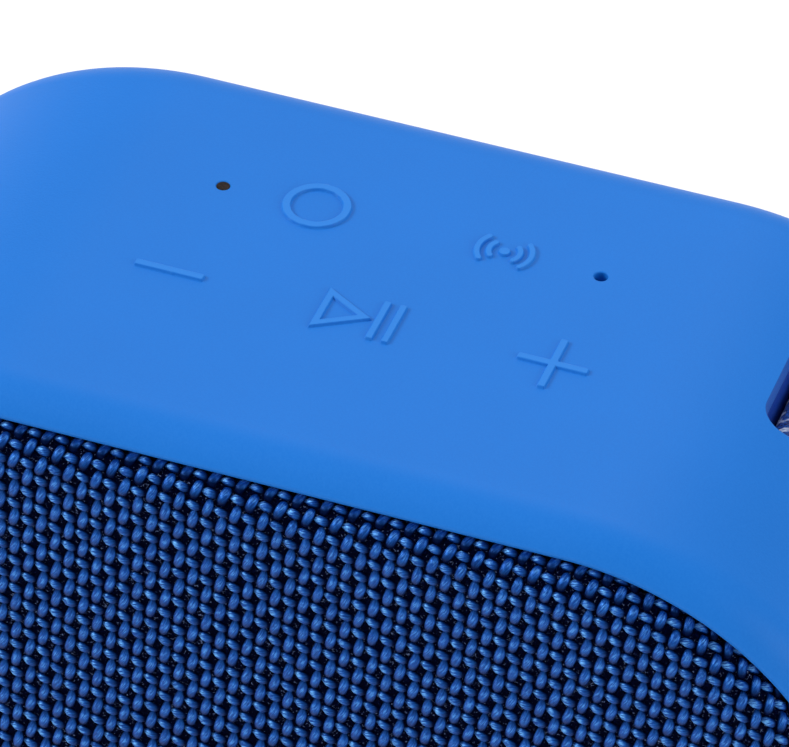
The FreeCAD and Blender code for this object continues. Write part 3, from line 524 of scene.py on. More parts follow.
# the thin lip round the cloth: its rounding, where it meets the front rounding, its wall's end
LIP_ROUND, LIP_JOIN, MOUTH_BACK = 0.45, 58.0, -18.95
SKIN = 1.5
ARC_STEPS = 48
LINE_STEPS = (8, 20)
FLAT_END = HALF_W - CORNER
ARC_LENGTH = CORNER * math.pi / 2
ROWS = np.linspace(FRONT_EDGE, BACK_EDGE, 18)
KEY_RADIUS = 4.22
KEYS = {
    "power_key": (-7.1, 7.3, "power_button"),
    "pairing_key": (7.1, 7.3, "pairing_button"),
    "volume_down_key": (-14.35, -3.3, "volume_down_button"),
    "play_key": (0.0, -3.3, "play_button"),
    "volume_up_key": (14.35, -3.3, "volume_up_button"),
}
# Rings below a key's rim, for its hole in the skin and for the key's own side, underside and
# stem: share of the key's radius, depth, and whether the surface faces down there.
HOLE_PROFILE = ((1.0, 0.0, False), (1.016, 0.03, False), (1.016, SKIN, False))
STEM, STEM_END = 0.357, 4.45
PAD_PROFILE = (
    (1.0, 0.0, False), (0.99, 0.04, False), (0.99, SKIN, False), (0.99, SKIN, True),
    (STEM, SKIN, True), (STEM, SKIN, False), (STEM, STEM_END, False), (STEM, STEM_END, True),
    (0.01, STEM_END, True),
)
WINDOWS = ((-14.35, 7.3), (14.35, 7.3))
WINDOW_RADIUS, WINDOW_SOFT, WINDOW_STEPS = 0.5, 0.12, 48
SLOT_LEFT, SLOT_LOW = 29.0, 58.9
SLOT_FRONT, SLOT_BACK = -1.9, 9.5
SLOT_CORNER = 2.0
# the slot's lip: how far it reaches in, how deep it is there, and its slope in degrees
SLOT_LIP = (
    (0.0, 0.0, 0), (0.05, 0.015, 24), (0.1, 0.07, 54), (0.46, 0.72, 61),
    (0.52, 0.86, 74), (0.54, 1.0, 86), (0.54, SKIN, 90),
)
OPENING_SOFT = 0.4
RADIATOR_UP = 41.0
PORT_UP = 12.7


def outline_row(inset, y):
    """The body's outline drawn in by `inset`, at depth y: points and their outward normals."""
    flat, out = rounded_loop(HALF_W - inset, HALF_H - inset, CORNER - inset, ARC_STEPS, LINE_STEPS)
    points = np.column_stack([flat[:, 0], np.full(len(flat), y), flat[:, 1] + MID_UP])
    return points, out


def turned(out, lean):
    """Outline normals leaned by `lean` radians towards the front."""
    level = math.cos(lean)
    return np.column_stack([out[:, 0] * level, np.full(len(out), -math.sin(lean)), out[:, 1] * level])


def profile_rows(profile):
    """Rows of the body's outline.  Each place of the profile is an inset, a depth y and a lean."""
    rows, normals = [], []
    for inset, y, lean in profile:
        points, out = outline_row(inset, y)
        rows.append(points)
        normals.append(turned(out, lean))
    return rows, normals


def front_rows():
    """From the wall of the mouth, over the thin lip and the front rounding, to the side."""
    start = math.radians(LIP_JOIN)
    lip_in = FRONT_ROUND * (1 - math.cos(start)) + LIP_ROUND * math.cos(start)
    lip_y = FRONT_EDGE - FRONT_ROUND * math.sin(start) + LIP_ROUND * math.sin(start)
    profile = [(lip_in + LIP_ROUND, MOUTH_BACK, math.pi)]
    for lean in arc(180, LIP_JOIN, 14):
        inset = lip_in - LIP_ROUND * math.cos(lean)
        profile.append((inset, lip_y - LIP_ROUND * math.sin(lean), lean))
    for lean in arc(LIP_JOIN, 0, 14)[1:]:
        inset = FRONT_ROUND * (1 - math.cos(lean))
        profile.append((inset, FRONT_EDGE - FRONT_ROUND * math.sin(lean), lean))
    return profile_rows(profile)


def back_rows():
    """The rounding from the side to the flat back."""
    return profile_rows([
        (BACK_ROUND * (1 - math.cos(lean)), BACK_EDGE + BACK_ROUND * math.sin(lean), -lean)
        for lean in arc(0, 90, 16)
    ])


def unrolled(s, y, depth=0.0):
    """A place on the flat top, or past its right end on the shoulder, and the normal there."""
    s, y = np.asarray(s, float), np.asarray(y, float)
    angle = math.pi / 2 - np.clip(s - FLAT_END, 0.0, None) / CORNER
    across, up = np.cos(angle), np.sin(angle)
    flat = np.clip(s, None, FLAT_END)
    radius = CORNER - depth
    centre_up = TOP_UP - CORNER
    points = np.column_stack([flat + radius * across, y, centre_up + radius * up])
    return points, np.column_stack([across, np.zeros_like(across), up])


def circle_loop(x, y, radius):
    angles = 2 * math.pi * np.arange(WINDOW_STEPS) / WINDOW_STEPS
    return np.column_stack([x + radius * np.cos(angles), y + radius * np.sin(angles)])


PAD_STEPS = 170


def pad_rim(x, y):
    """The pad's rim points, as the square grid mapped to a disc gives them."""
    grid = pad_grid()
    steps = range(PAD_STEPS)
    edge = [grid[0, k] for k in steps] + [grid[k, -1] for k in steps]
    edge += [grid[-1, -1 - k] for k in steps] + [grid[-1 - k, 0] for k in steps]
    return np.array(edge) * KEY_RADIUS + (x, y)


def pad_grid():
    """A square grid mapped to the unit disc with even spacing."""
    line = np.linspace(-1.0, 1.0, PAD_STEPS + 1)
    a, b = np.meshgrid(line, line, indexing="ij")
    wide = np.abs(a) > np.abs(b)
    radius = np.where(wide, a, b)
    ratio = np.divide(np.where(wide, b, a), radius, out=np.zeros_like(a), where=radius != 0)
    angle = np.where(wide, math.pi / 4 * ratio, math.pi / 2 - math.pi / 4 * ratio)
    return np.stack([radius * np.cos(angle), radius * np.sin(angle)], axis=-1)


def slot_outline(reach):
    """The slot's outline on the unrolled shoulder, drawn in by `reach`, with its normals."""
    left = FLAT_END + CORNER * math.asin((SLOT_LEFT - FLAT_END) / CORNER)
    right = FLAT_END + CORNER * math.acos((SLOT_LOW - TOP_UP + CORNER) / CORNER)
    half_s, half_y = (right - left) / 2 - reach, (SLOT_BACK - SLOT_FRONT) / 2 - reach
    points, out = rounded_loop(half_s, half_y, SLOT_CORNER - reach, 16, (12, 24))
    return points + ((left + right) / 2, (SLOT_FRONT + SLOT_BACK) / 2), out


def rim_walls(form, x, y, profile, facing):
    """Rings below a key's rim that face outward (1) or inward (-1)."""
    rim = pad_rim(x, y) - (x, y)
    out = rim / KEY_RADIUS * facing
    rows, normals = [], []
    for share, depth, down in profile:
        rows.append(np.column_stack([rim * share + (x, y), np.full(len(rim), TOP_UP - depth)]))
        normals.append(np.column_stack([out * (1 - down), np.full(len(rim), -float(down))]))
    form.strip(rows, normals, closed=True)


def soft_edge(soft, steps):
    """A hole's rounded edge and its wall: how much wider, how deep, and the lean there."""
    leans = arc(0, 90, steps)
    edge = [(soft * (1 - math.sin(a)), soft * (1 - math.cos(a)), a) for a in leans]
    return [*edge, (0.0, SKIN, leans[-1])]


def window_hole(skin, x, y):
    """A small round opening in the top."""
    rows, normals = [], []
    for grow, depth, lean in soft_edge(WINDOW_SOFT, 5):
        loop = circle_loop(x, y, WINDOW_RADIUS + grow)
        out = (loop - (x, y)) / np.linalg.norm(loop - (x, y), axis=1)[:, None]
        rows.append(np.column_stack([loop, np.full(len(loop), TOP_UP - depth)]))
        up = np.full(len(loop), math.cos(lean))
        normals.append(np.column_stack([-out * math.sin(lean), up]))
    skin.strip(rows, normals, closed=True)


def slot_lip(skin):
    """The lip of the strap slot.  Returns the range of its vertices."""
    first = len(skin.points)
    rows, normals = [], []
    for reach, depth, slope in SLOT_LIP:
        points, out = slot_outline(reach)
        place, normal = unrolled(points[:, 0], points[:, 1], depth)
        along = np.column_stack([normal[:, 2], np.zeros(len(out)), -normal[:, 0]])
        lean = math.radians(slope)
        inward = -(along * out[:, :1] + np.array((0.0, 1.0, 0.0)) * out[:, 1:])
        rows.append(place)
        normals.append(normal * math.cos(lean) + inward * math.sin(lean))
    skin.strip(rows, normals, closed=True)
    return first, len(skin.points)


def top_panel(skin):
    """The flat top and right shoulder, less their openings.  Returns the slot lip's vertices."""
    shoulder = np.linspace(FLAT_END, FLAT_END + ARC_LENGTH, ARC_STEPS + 1)
    across = np.concatenate([np.linspace(-FLAT_END, FLAT_END, LINE_STEPS[1] + 1)[:-1], shoulder])
    edge = [(s, FRONT_EDGE) for s in across] + [(across[-1], y) for y in ROWS[1:]]
    edge += [(s, BACK_EDGE) for s in across[::-1][1:]] + [(across[0], y) for y in ROWS[::-1][1:-1]]
    keys = [pad_rim(x, y) for x, y, body in KEYS.values()]
    windows = [circle_loop(x, y, WINDOW_RADIUS + WINDOW_SOFT) for x, y in WINDOWS]
    slot = slot_outline(0.0)[0]
    inner = np.array([(s, y) for s in shoulder[1:-1] for y in ROWS[1:-1]])
    low, high = slot.min(axis=0) - 0.25, slot.max(axis=0) + 0.25
    clear = np.any((inner < low) | (inner > high), axis=1)
    where, triangles = fill_flat(edge, [*keys, *windows, slot], inner[clear])
    skin.patch(*unrolled(where[:, 0], where[:, 1]), triangles)
    for x, y, body in KEYS.values():
        rim_walls(skin, x, y, HOLE_PROFILE, -1)
    for x, y in WINDOWS:
        window_hole(skin, x, y)
    return slot_lip(skin)


def back_panel(skin):
    """The flat back with the radiator's and the port cover's openings, their edges rounded."""
    edge, out = rounded_loop(
        HALF_W - BACK_ROUND, HALF_H - BACK_ROUND, CORNER - BACK_ROUND, ARC_STEPS, LINE_STEPS
    )
    openings = ((23.0, 12.0, 11.99, RADIATOR_UP), (9.15, 4.15, 2.65, PORT_UP))
    back = BACK_EDGE + BACK_ROUND
    holes = []
    for half_w, half_h, radius, up in openings:
        lift = np.array((0.0, up - MID_UP))
        rows, normals = [], []
        for grow, depth, lean in soft_edge(OPENING_SOFT, 6):
            loop, out = rounded_loop(half_w + grow, half_h + grow, radius + grow, 24, (4, 16))
            loop = loop + lift
            if not rows:
                holes.append(loop)
            level = np.full(len(loop), back - depth)
            rows.append(np.column_stack([loop[:, 0], level, loop[:, 1] + MID_UP]))
            side = -out * math.sin(lean)
            back_share = np.full(len(loop), math.cos(lean))
            normals.append(np.column_stack([side[:, 0], back_share, side[:, 1]]))
        skin.strip(rows, normals, closed=True)
    where, triangles = fill_flat(edge, holes)
    points = np.column_stack([where[:, 0], np.full(len(where), back), where[:, 1] + MID_UP])
    skin.patch(points, np.tile((0.0, 1.0, 0.0), (len(where), 1)), triangles)


def silicone_skin(material):
    """The blue skin: both roundings, the sides, the top and the back, with their openings."""
    skin = Patchwork()
    skin.strip(*front_rows(), closed=True)
    skin.strip(*back_rows(), closed=True)
    sides = [outline_row(0.0, y) for y in ROWS]
    count = len(sides[0][0])
    first = ARC_STEPS + LINE_STEPS[0]
    last = first + ARC_STEPS + LINE_STEPS[1]
    kept = [k % count for k in range(last, first + count + 1)]
    rows = [points[kept] for points, out in sides]
    normals = [turned(out, 0.0)[kept] for points, out in sides]
    skin.strip(rows, normals)
    lip = top_panel(skin)
    back_panel(skin)
    piece = mesh_piece("skin", skin.points, skin.faces, material, "housing", skin.normals)
    # the slot lip's vertices, which the silicone darkens as painted shade
    painted_lip_shade = np.zeros(len(skin.points))
    painted_lip_shade[lip[0]:lip[1]] = 1.0
    store(piece, "painted_lip_shade", painted_lip_shade)
    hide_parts("silicone_skin")


# ---- keys ----

RELIEF = 0.22
EDGE_SOFT = 0.1
BAR_ROUND = 0.12


def bar_field(x, y, half_x, half_y):
    """Distance to a bar with rounded corners: negative inside."""
    qx = np.abs(x) - half_x + BAR_ROUND
    qy = np.abs(y) - half_y + BAR_ROUND
    outside = np.hypot(np.clip(qx, 0, None), np.clip(qy, 0, None))
    return outside + np.minimum(np.maximum(qx, qy), 0.0) - BAR_ROUND


def ring_field(x, y):
    return np.abs(np.hypot(x + 0.1, y - 0.1) - 2.2) - 0.31


def minus_field(x, y):
    return bar_field(x + 0.08, y - 0.08, 2.6, 0.3)


def plus_field(x, y):
    x, y = x + 0.05, y - 0.05
    return np.minimum(bar_field(x, y, 2.6, 0.29), bar_field(x, y, 0.29, 2.72))


def triangle_field(x, y, corners, half):
    """Distance to the outline of a triangle, the stroke lying inside it."""
    edges = []
    for (x0, y0), (x1, y1) in zip(corners, corners[1:] + corners[:1]):
        length = math.hypot(x1 - x0, y1 - y0)
        edges.append(((y1 - y0) * (x - x0) - (x1 - x0) * (y - y0)) / length)
    return np.abs(np.maximum.reduce(edges) + half) - half


def play_field(x, y):
    outline = triangle_field(x, y, [(-3.08, -2.28), (0.78, 0.06), (-3.08, 2.32)], 0.27)
    bars = [bar_field(x - across, y - 0.1, 0.27, 2.15) for across in (1.31, 2.49)]
    return np.minimum.reduce([outline, *bars])


def broadcast_field(x, y):
    """A dot with two arcs on each side."""
    field = np.hypot(x, y) - 0.42
    side = np.abs(x)
    limit = math.radians(40)
    for radius in (1.15, 2.0):
        angle = np.arctan2(y, side)
        end = radius * polar(limit)
        on_arc = np.abs(np.hypot(side, y) - radius)
        at_end = np.hypot(side - end[0], np.abs(y) - end[1])
        field = np.minimum(field, np.where(np.abs(angle) < limit, on_arc, at_end) - 0.23)
    return field


SYMBOLS = {
    "power_key": ring_field,
    "pairing_key": broadcast_field,
    "volume_down_key": minus_field,
    "play_key": play_field,
    "volume_up_key": plus_field,
}


def relief(field, x, y):
    """Height of the raised symbol, its edges rounded over."""
    share = np.clip(0.5 - field(x, y) / EDGE_SOFT, 0.0, 1.0)
    return RELIEF * share * share * (3 - 2 * share)


def pad_top(pad, field, across, along):
    """The top of a key, as a fine grid that carries the raised symbol."""
    step = 0.01
    side = PAD_STEPS + 1
    grid = pad_grid().reshape(-1, 2) * KEY_RADIUS
    x, y = grid[:, 0], grid[:, 1]
    slope_x = (relief(field, x + step, y) - relief(field, x - step, y)) / (2 * step)
    slope_y = (relief(field, x, y + step) - relief(field, x, y - step)) / (2 * step)
    top = np.column_stack([x + across, y + along, TOP_UP + relief(field, x, y)])
    normals = np.column_stack([-slope_x, -slope_y, np.ones(len(x))])
    normals /= np.linalg.norm(normals, axis=1)[:, None]
    quads = [
        (r * side + c, (r + 1) * side + c, (r + 1) * side + c + 1, r * side + c + 1)
        for r in range(PAD_STEPS) for c in range(PAD_STEPS)
    ]
    pad.patch(top, normals, quads)


def key_pads(material):
    """The keys: round pads level with the top, each with a raised symbol and a short stem."""
    for label, (across, along, body) in KEYS.items():
        pad = Patchwork()
        pad_top(pad, SYMBOLS[label], across, along)
        rim_walls(pad, across, along, PAD_PROFILE, 1)
        piece = mesh_piece(label + "_pad", pad.points, pad.faces, material, body, pad.normals)
        # the symbol's height share, which the silicone turns into a painted highlight
        store(piece, "raised", np.clip((np.array(pad.points)[:, 2] - TOP_UP) / RELIEF, 0.0, 1.0))
        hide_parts(label)


# ---- cloth ----

CLOTH_FRONT = -21.75
CLOTH_ROUND = 2.6
CLOTH_W, CLOTH_H, CLOTH_CORNER = 39.8, 31.9, 19.2
CLOTH_WRAP = 4.15
COLUMN, ROW = 1.03, 1.33
NET_LEVEL = -0.44
# the corners of a yarn's cross-section: six on its upper half and one below
YARN_SIDES = np.radians([0, 36, 72, 108, 144, 180, 270])
# the least square of a yarn's plumpness, the fibres round it, and how much yarns vary
THINNEST, FIBRES, DRIFT, GIRTH = 0.09, 2.2, 0.022, 0.035
# How the yarns of each set lie, in millimetres.  Angles are phases: 0 is the middle of a float
# and 180 the middle of the crossing under the next yarn.
# The last two fields place and scale the painted highlight along each float: its phase and its peak.
WARP = SimpleNamespace(
    upright=True, pitch=ROW, spacing=COLUMN, half_u=CLOTH_W, half_v=CLOTH_H, steps=5, shift=0.25,
    half_wide=0.4, half_thick=0.33, taper=132.0, blunt=2.1, lean=0.1,
    level=-0.54, swing=0.2, dive_from=70.0, dive_to=160.0, painted_highlight_phase=35.0, bright=1.08,
)
WEFT = SimpleNamespace(
    upright=False, pitch=COLUMN, spacing=ROW, half_u=CLOTH_H, half_v=CLOTH_W, steps=4, shift=0.75,
    half_wide=0.39, half_thick=0.33, taper=110.0, blunt=2.7, lean=-0.09,
    level=-0.5, swing=0.1, dive_from=30.0, dive_to=140.0, painted_highlight_phase=-55.0, bright=1.45,
)


def wrapped(u, v, h):
    """A place on the cloth: flat coordinates u and v, bent round the edge, h along the normal."""
    qx, qy = np.abs(u) - (CLOTH_W - CLOTH_CORNER), np.abs(v) - (CLOTH_H - CLOTH_CORNER)
    corner = (qx > 0) & (qy > 0)
    length = np.hypot(qx, qy) + 1e-9
    nx = np.where(corner, qx / length, np.where(qx > qy, 1.0, 0.0)) * np.sign(u + 1e-12)
    ny = np.where(corner, qy / length, np.where(qx > qy, 0.0, 1.0)) * np.sign(v + 1e-12)
    over = np.where(corner, length, np.maximum(qx, qy)) - CLOTH_CORNER
    over = np.clip(over, 0.0, None)
    angle = np.minimum(over / CLOTH_ROUND, math.pi / 2)
    past = over - angle * CLOTH_ROUND
    reach = (CLOTH_ROUND + h) * np.sin(angle) - over
    x = u + nx * reach
    z = v + ny * reach
    y = CLOTH_FRONT + CLOTH_ROUND - (CLOTH_ROUND + h) * np.cos(angle) + past
    return np.column_stack([x, y, z + MID_UP])


def cloth_reach(u, half_u, half_v):
    """How far the flat cloth reaches along v at u."""
    radius = CLOTH_CORNER + CLOTH_WRAP
    beyond = np.clip(abs(u) - (half_u + CLOTH_WRAP - radius), 0.0, None)
    return half_v + CLOTH_WRAP - radius + math.sqrt(max(radius * radius - beyond * beyond, 0.0))


def yarn_run(kind, line, rng):
    """One yarn's places along the cloth, their phases, its sideways drift and its girth."""
    reach = cloth_reach((line + 0.5) * kind.spacing, kind.half_u, kind.half_v)
    start = math.ceil(-reach / kind.pitch * kind.steps)
    v = np.arange(start, -start + 1) * kind.pitch / kind.steps
    turns = v / (2 * kind.pitch) + line / 2 + kind.shift
    phase = 360.0 * (turns - np.round(turns))
    knots = np.arange(math.floor(v[0] / kind.pitch) - 1, math.ceil(v[-1] / kind.pitch) + 2)
    drift = np.interp(v / kind.pitch, knots, rng.normal(0.0, DRIFT, len(knots)))
    girth = 1.0 + np.interp(v / kind.pitch, knots, rng.normal(0.0, GIRTH, len(knots)))
    return v, phase, drift, girth


def yarn_tube(kind, line, rng):
    """One yarn's points, its place marks for the fibres, and its painted light: lighter near the top of
    each float, darker on its underside and where it dives.
    """
    v, phase, drift, girth = yarn_run(kind, line, rng)
    plump = np.sqrt(np.clip(1.0 - (np.abs(phase) / kind.taper) ** kind.blunt, THINNEST, None))
    dive = np.interp(np.abs(phase), (kind.dive_from, kind.dive_to), (0.0, 1.0))
    height = kind.swing * (1 - 2 * dive * dive * (3 - 2 * dive)) + kind.level
    lean = kind.lean * np.sin(np.radians(phase))
    centre = (line + 0.5) * kind.spacing + drift + lean
    side, rise = np.cos(YARN_SIDES), np.sin(YARN_SIDES)
    uu = centre[:, None] + kind.half_wide * (plump * girth)[:, None] * side
    hh = height[:, None] + kind.half_thick * (plump * girth)[:, None] * rise
    vv = np.repeat(v[:, None], len(YARN_SIDES), axis=1)
    flat = (uu, vv) if kind.upright else (vv, uu)
    points = wrapped(flat[0].ravel(), flat[1].ravel(), hh.ravel())
    around = np.broadcast_to(YARN_SIDES / (2 * math.pi) * FIBRES, uu.shape)
    lot = np.full(uu.shape, rng.random())
    marks = np.stack([around, vv, lot], axis=-1).reshape(-1, 3)
    # Painted light: a highlight that peaks at the given phase along the float, with painted shade on
    # the yarn's lower side and where it dives.
    top = np.clip(kind.bright - np.abs(phase - kind.painted_highlight_phase) / kind.taper, 0.0, kind.bright)
    painted_float_light = top[:, None] * np.clip(rise + 0.25, 0.0, 1.0)
    return points, marks, painted_float_light.ravel()


def yarn_set(name, material, kind, lines, seed):
    """Plain-woven yarns one way: each goes over and under the yarns that it crosses."""
    rng = np.random.default_rng(seed)
    ring = len(YARN_SIDES)
    tubes = [yarn_tube(kind, line, rng) for line in lines]
    faces, first = [], 0
    for points, marks, painted_float_light in tubes:
        count = len(points) // ring
        a = np.arange((count - 1) * ring).reshape(count - 1, ring)
        b = np.roll(a, -1, axis=1)
        quads = np.stack([a, b, b + ring, a + ring], axis=-1).reshape(-1, 4) + first
        faces.append(quads[:, ::-1] if kind.upright else quads)
        first += count * ring
    points, marks, painted_float_lights = (np.concatenate(column) for column in zip(*tubes))
    piece = mesh_piece(name, points, np.concatenate(faces), material, "housing")
    store(piece, "yarn", marks)
    store(piece, "painted_float_light", painted_float_lights)
    return piece


def backing_net(material):
    """The dark net that binds the yarns: one stretched sheet that follows the wrapped edge."""
    net = Patchwork()
    rows, normals, loops = [], [], []
    for over in np.linspace(0.0, CLOTH_WRAP, 10):
        loop, out = rounded_loop(CLOTH_W + over, CLOTH_H + over, CLOTH_CORNER + over, 32, (16, 20))
        loops.append(loop)
        rows.append(wrapped(loop[:, 0], loop[:, 1], NET_LEVEL))
        normals.append(turned(out, math.pi / 2 - min(over / CLOTH_ROUND, math.pi / 2)))
    net.strip(rows, normals, closed=True)
    where, triangles = fill_flat(loops[0], [])
    points = wrapped(where[:, 0] * 0.99999, where[:, 1] * 0.99999, NET_LEVEL)
    net.patch(points, np.tile((0.0, -1.0, 0.0), (len(points), 1)), triangles)
    piece = mesh_piece("cloth_backing_net", net.points, net.faces, material, "housing", net.normals)
    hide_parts("grille_cloth")
    return piece


def cloth(yarn, net):
    """The grille cloth: one stretched sheet, shown as its net and every yarn on it."""
    columns = int((CLOTH_W + CLOTH_WRAP) / COLUMN)
    rows = int((CLOTH_H + CLOTH_WRAP) / ROW)
    yarns = [
        yarn_set("warp_yarns_left", yarn, WARP, range(-columns, 0), 11),
        yarn_set("warp_yarns_right", yarn, WARP, range(0, columns), 12),
        yarn_set("weft_yarns_low", yarn, WEFT, range(-rows, 0), 13),
        yarn_set("weft_yarns_high", yarn, WEFT, range(0, rows), 14),
    ]
    backing = backing_net(net)


# ---- strap ----

BAR = np.array((31.0, 69.3))
STRAP_WRAP, STRAP_THICK, STRAP_WIDTH, STRAP_MIDDLE = 1.35, 0.9, 8.0, 3.8
STRAP_FALL = math.radians(30.0)
STRAP_INNER, STRAP_END, STRAP_LOW = 46.7, 2.8, 37.0
STRAP_BENDS = (3.0, 7.0)
THREAD, THREAD_PROUD, RIB = 0.4, 0.06, 0.02
TONES = 64


def strap_leg(start, upright_x, bend):
    """Places along one leg, from the bar down to where the loop turns."""
    along = polar(-STRAP_FALL)
    corner = start + along * (upright_x - start[0]) / along[0]
    turn = math.pi / 2 - STRAP_FALL
    setback = bend * math.tan(turn / 2)
    first = corner - along * setback
    centre = first - bend * polar(turn)
    curve = [centre + bend * polar(a) for a in np.linspace(turn, 0.0, 24)]
    return [start, *curve, np.array((upright_x, STRAP_LOW))]


def strap_path():
    """The loop's centre line in X and Z, evenly spaced, with its normals."""
    up = polar(math.pi / 2 - STRAP_FALL)
    outer_x = STRAP_INNER + 2 * STRAP_END
    inner = strap_leg(BAR - up * STRAP_WRAP, STRAP_INNER, STRAP_BENDS[0])
    outer = strap_leg(BAR + up * STRAP_WRAP, outer_x, STRAP_BENDS[1])
    middle = np.array((STRAP_INNER + STRAP_END, STRAP_LOW))
    bottom = [middle + STRAP_END * polar(a) for a in arc(180, 360, 24)]
    lift = 90.0 - math.degrees(STRAP_FALL)
    turns = arc(lift, lift + 180.0, 24)
    top = [BAR + STRAP_WRAP * polar(a) for a in turns]
    corners = np.array([*inner, *bottom[1:-1], *outer[::-1], *top[1:-1]])
    closed = np.vstack([corners, corners[:1]])
    lengths = np.concatenate([[0.0], np.cumsum(np.linalg.norm(np.diff(closed, axis=0), axis=1))])
    count = int(lengths[-1] / (THREAD / 2) / 4) * 4
    at = np.linspace(0.0, lengths[-1], count, endpoint=False)
    path = np.column_stack([np.interp(at, lengths, closed[:, k]) for k in range(2)])
    ahead = np.roll(path, -1, axis=0) - np.roll(path, 1, axis=0)
    ahead /= np.linalg.norm(ahead, axis=1)[:, None]
    return path, np.column_stack([-ahead[:, 1], ahead[:, 0]]), at


def strap_section():
    """Round the webbing's section: places across it and the share of its half thickness there."""
    half_w, half_t = STRAP_WIDTH / 2, STRAP_THICK / 2 - THREAD_PROUD
    flat = np.linspace(-half_w + half_t, half_w - half_t, 55)
    edge = np.array(arc(70, -70, 4))
    across = np.concatenate([flat, half_w - half_t + half_t * np.cos(edge) * 0.99])
    lift = np.concatenate([np.ones(len(flat)), np.sin(edge)])
    return np.concatenate([across, -across]), np.concatenate([lift, -lift])


def strap(material):
    """Flat webbing with raised threads in a brick pattern and rounded selvedges."""
    path, out, at = strap_path()
    across, lift = strap_section()
    half_t = STRAP_THICK / 2 - THREAD_PROUD
    threads = np.round(across / THREAD)
    ribs = RIB * np.cos(math.pi * across / THREAD)
    tones = np.random.default_rng(21).random((len(at), TONES))
    points, marks, shades = [], [], []
    for place, normal, along in zip(path, out, at):
        wave = np.cos(math.pi * along / THREAD + math.pi * threads)
        proud = THREAD_PROUD * wave * np.abs(lift)
        height = lift * half_t + np.sign(lift) * proud
        points.append(np.column_stack([
            place[0] + normal[0] * height,
            STRAP_MIDDLE + across + ribs,
            place[1] + normal[1] * height,
        ]))
        marks.append(np.column_stack([across * MM, np.full(len(across), along * MM), lift]))
        raised = np.floor((along / THREAD + threads + (TONES // 2 + 1)) / 2).astype(int)
        shades.append(tones[raised, (threads + TONES // 2).astype(int)])
    a = np.arange(len(at) * len(across)).reshape(len(at), len(across))
    b, c = np.roll(a, -1, axis=1), np.roll(a, -1, axis=0)
    d = np.roll(b, -1, axis=0)
    quads = np.stack([a, b, d, c], axis=-1).reshape(-1, 4)
    piece = mesh_piece("strap_webbing", np.concatenate(points), quads, material, "strap")
    store(piece, "band", np.concatenate(marks))
    store(piece, "tone", np.concatenate(shades))
    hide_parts("carry_strap")


# ---- back ----

def stacked(name, levels, finish, body, node, slot, ripple=None, hole=False):
    """Rounded rectangles stacked along Y.

    Each level is a half width, half height, corner radius, y, middle height and lean in degrees.
    """
    form = Patchwork()
    rows, normals = [], []
    for number, (half_w, half_h, radius, y, up, lean) in enumerate(levels):
        loop, out = rounded_loop(half_w, half_h, radius, 32, (4, 32))
        level = np.full(len(loop), y)
        if ripple is not None:
            level = level + ripple(number, loop)
        rows.append(np.column_stack([loop[:, 0], level, loop[:, 1] + up]))
        normals.append(turned(out, math.radians(-lean)))
    form.strip(rows, normals, closed=True)
    if not hole:
        for index, facing in ((0, -1.0), (-1, 1.0)):
            end = rows[index]
            where, triangles = fill_flat(end[:, [0, 2]], [])
            flat = np.column_stack([where[:, 0], np.full(len(where), end[0, 1]), where[:, 1]])
            form.patch(flat, np.tile((0.0, facing, 0.0), (len(flat), 1)), triangles)
    normals = None if hole else form.normals
    piece = mesh_piece(name, form.points, form.faces, finish[slot], body, normals)
    if node:
        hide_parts(node)
    return piece


def rounded_block(half_w, half_h, radius, low, high, up, soft):
    """Levels of a plate whose back edge is rounded by `soft`."""
    levels = [(half_w, half_h, radius, low, up, 0), (half_w, half_h, radius, high - soft, up, 0)]
    for lean in np.linspace(0, 90, 7)[1:]:
        inset = soft * (1 - math.cos(math.radians(lean)))
        y = high - soft + soft * math.sin(math.radians(lean))
        levels.append((half_w - inset, half_h - inset, radius - inset, y, up, lean))
    return levels


ROLL_STEPS, ROLL_RIBS = 32, 36


def swell(share):
    """The surround's roll, from its outer rim at 0 to its inner rim at 1, both of them flat."""
    return math.sin(math.pi * min(max((share - 0.1) / 0.8, 0.0), 1.0))


def ribs(number, loop):
    """The fine ribs that run across the roll, level by level."""
    angle = np.arctan2(loop[:, 1], loop[:, 0])
    return 0.16 * swell(number / ROLL_STEPS) * np.cos(ROLL_RIBS * angle)


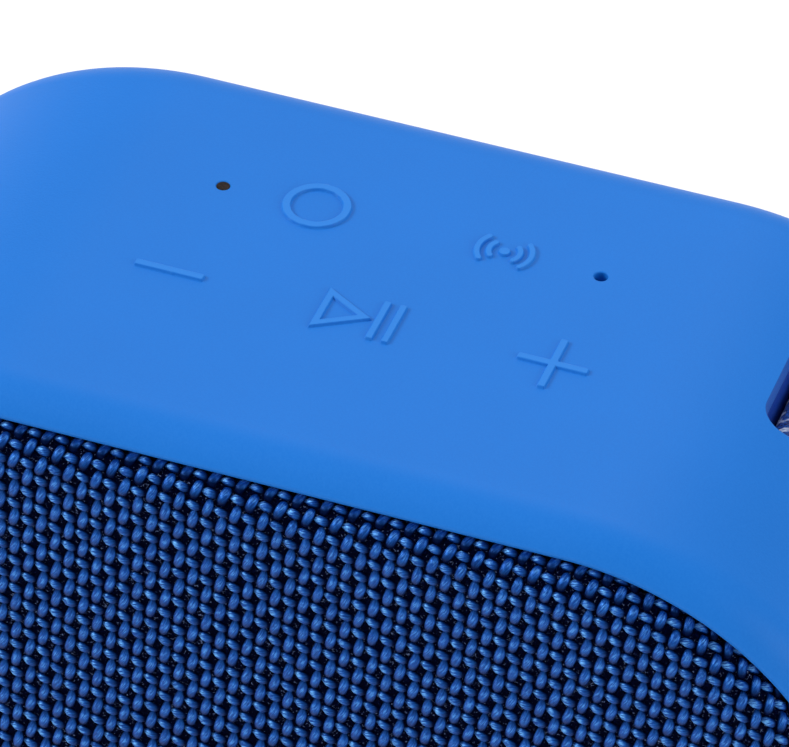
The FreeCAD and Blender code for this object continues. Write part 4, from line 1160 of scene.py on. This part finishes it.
def back_parts(finish):
    """The ribbed radiator surround, its plate, and the port cover with its pull tab."""
    levels = [
        (
            22.95 - 7.6 * share, 11.95 - 6.6 * share, 11.94 - 6.6 * share,
            19.0 + 1.5 * swell(share) ** 0.8, RADIATOR_UP, 90,
        )
        for share in np.linspace(0.0, 1.0, ROLL_STEPS + 1)
    ]
    stacked("radiator_roll", levels, finish, "housing", "radiator_surround", "black_rubber",
            ribs, hole=True)
    plate = rounded_block(15.0, 5.0, 4.98, 17.7, 20.25, RADIATOR_UP, 0.5)
    plate += [(12.4, 2.4, 2.39, 20.25, RADIATOR_UP, 90), (12.1, 2.1, 2.09, 20.02, RADIATOR_UP, 90)]
    stacked("radiator_dished_plate", plate, finish, "radiator", "radiator_plate", "radiator_metal")
    flap = rounded_block(8.98, 3.98, 2.48, 20.3, 21.75, PORT_UP, 0.4)
    stacked("port_cover_plate", flap, finish, "port_cover", "port_flap", "blue_silicone")
    tab = rounded_block(1.2, 2.0, 0.8, 21.6, 22.22, PORT_UP, 0.25)
    pull = stacked("port_cover_tab", tab, finish, "port_cover", None, "blue_silicone")
    pull.data.transform(Matrix.Translation((6.8 * MM, 0.0, 0.0)))


# ---- floor and assembly ----

def floor(material):
    data = bpy.data.meshes.new("floor")
    side = 12.0
    corners = [(-side, -side, 0), (side, -side, 0), (side, side, 0), (-side, side, 0)]
    data.from_pydata(corners, [], [(0, 1, 2, 3)])
    data.materials.append(material)
    plane = bpy.data.objects.new("floor", data)
    bpy.context.scene.collection.objects.link(plane)


def paint_cad(finish):
    """Gives every CAD node the finish of its slot in the record."""
    for part in frame["record"]["subparts"]:
        node = frame["nodes"][part["node"]]
        material = finish["slot_cup" if part["node"] == "strap_cup" else part["material_slot"]]
        if not node.data.materials:
            node.data.materials.append(material)
        for index in range(len(node.data.materials)):
            node.data.materials[index] = material


bpy.context.scene.view_settings.view_transform = "Standard"
add_camera()
add_light()
finish = make_materials()
floor(pale_floor("floor_paper"))
paint_cad(finish)
silicone_skin(finish["blue_silicone"])
key_pads(finish["blue_silicone"])
cloth(finish["blue_cloth"], net_cloth("backing_net"))
strap(finish["woven_strap"])
back_parts(finish)
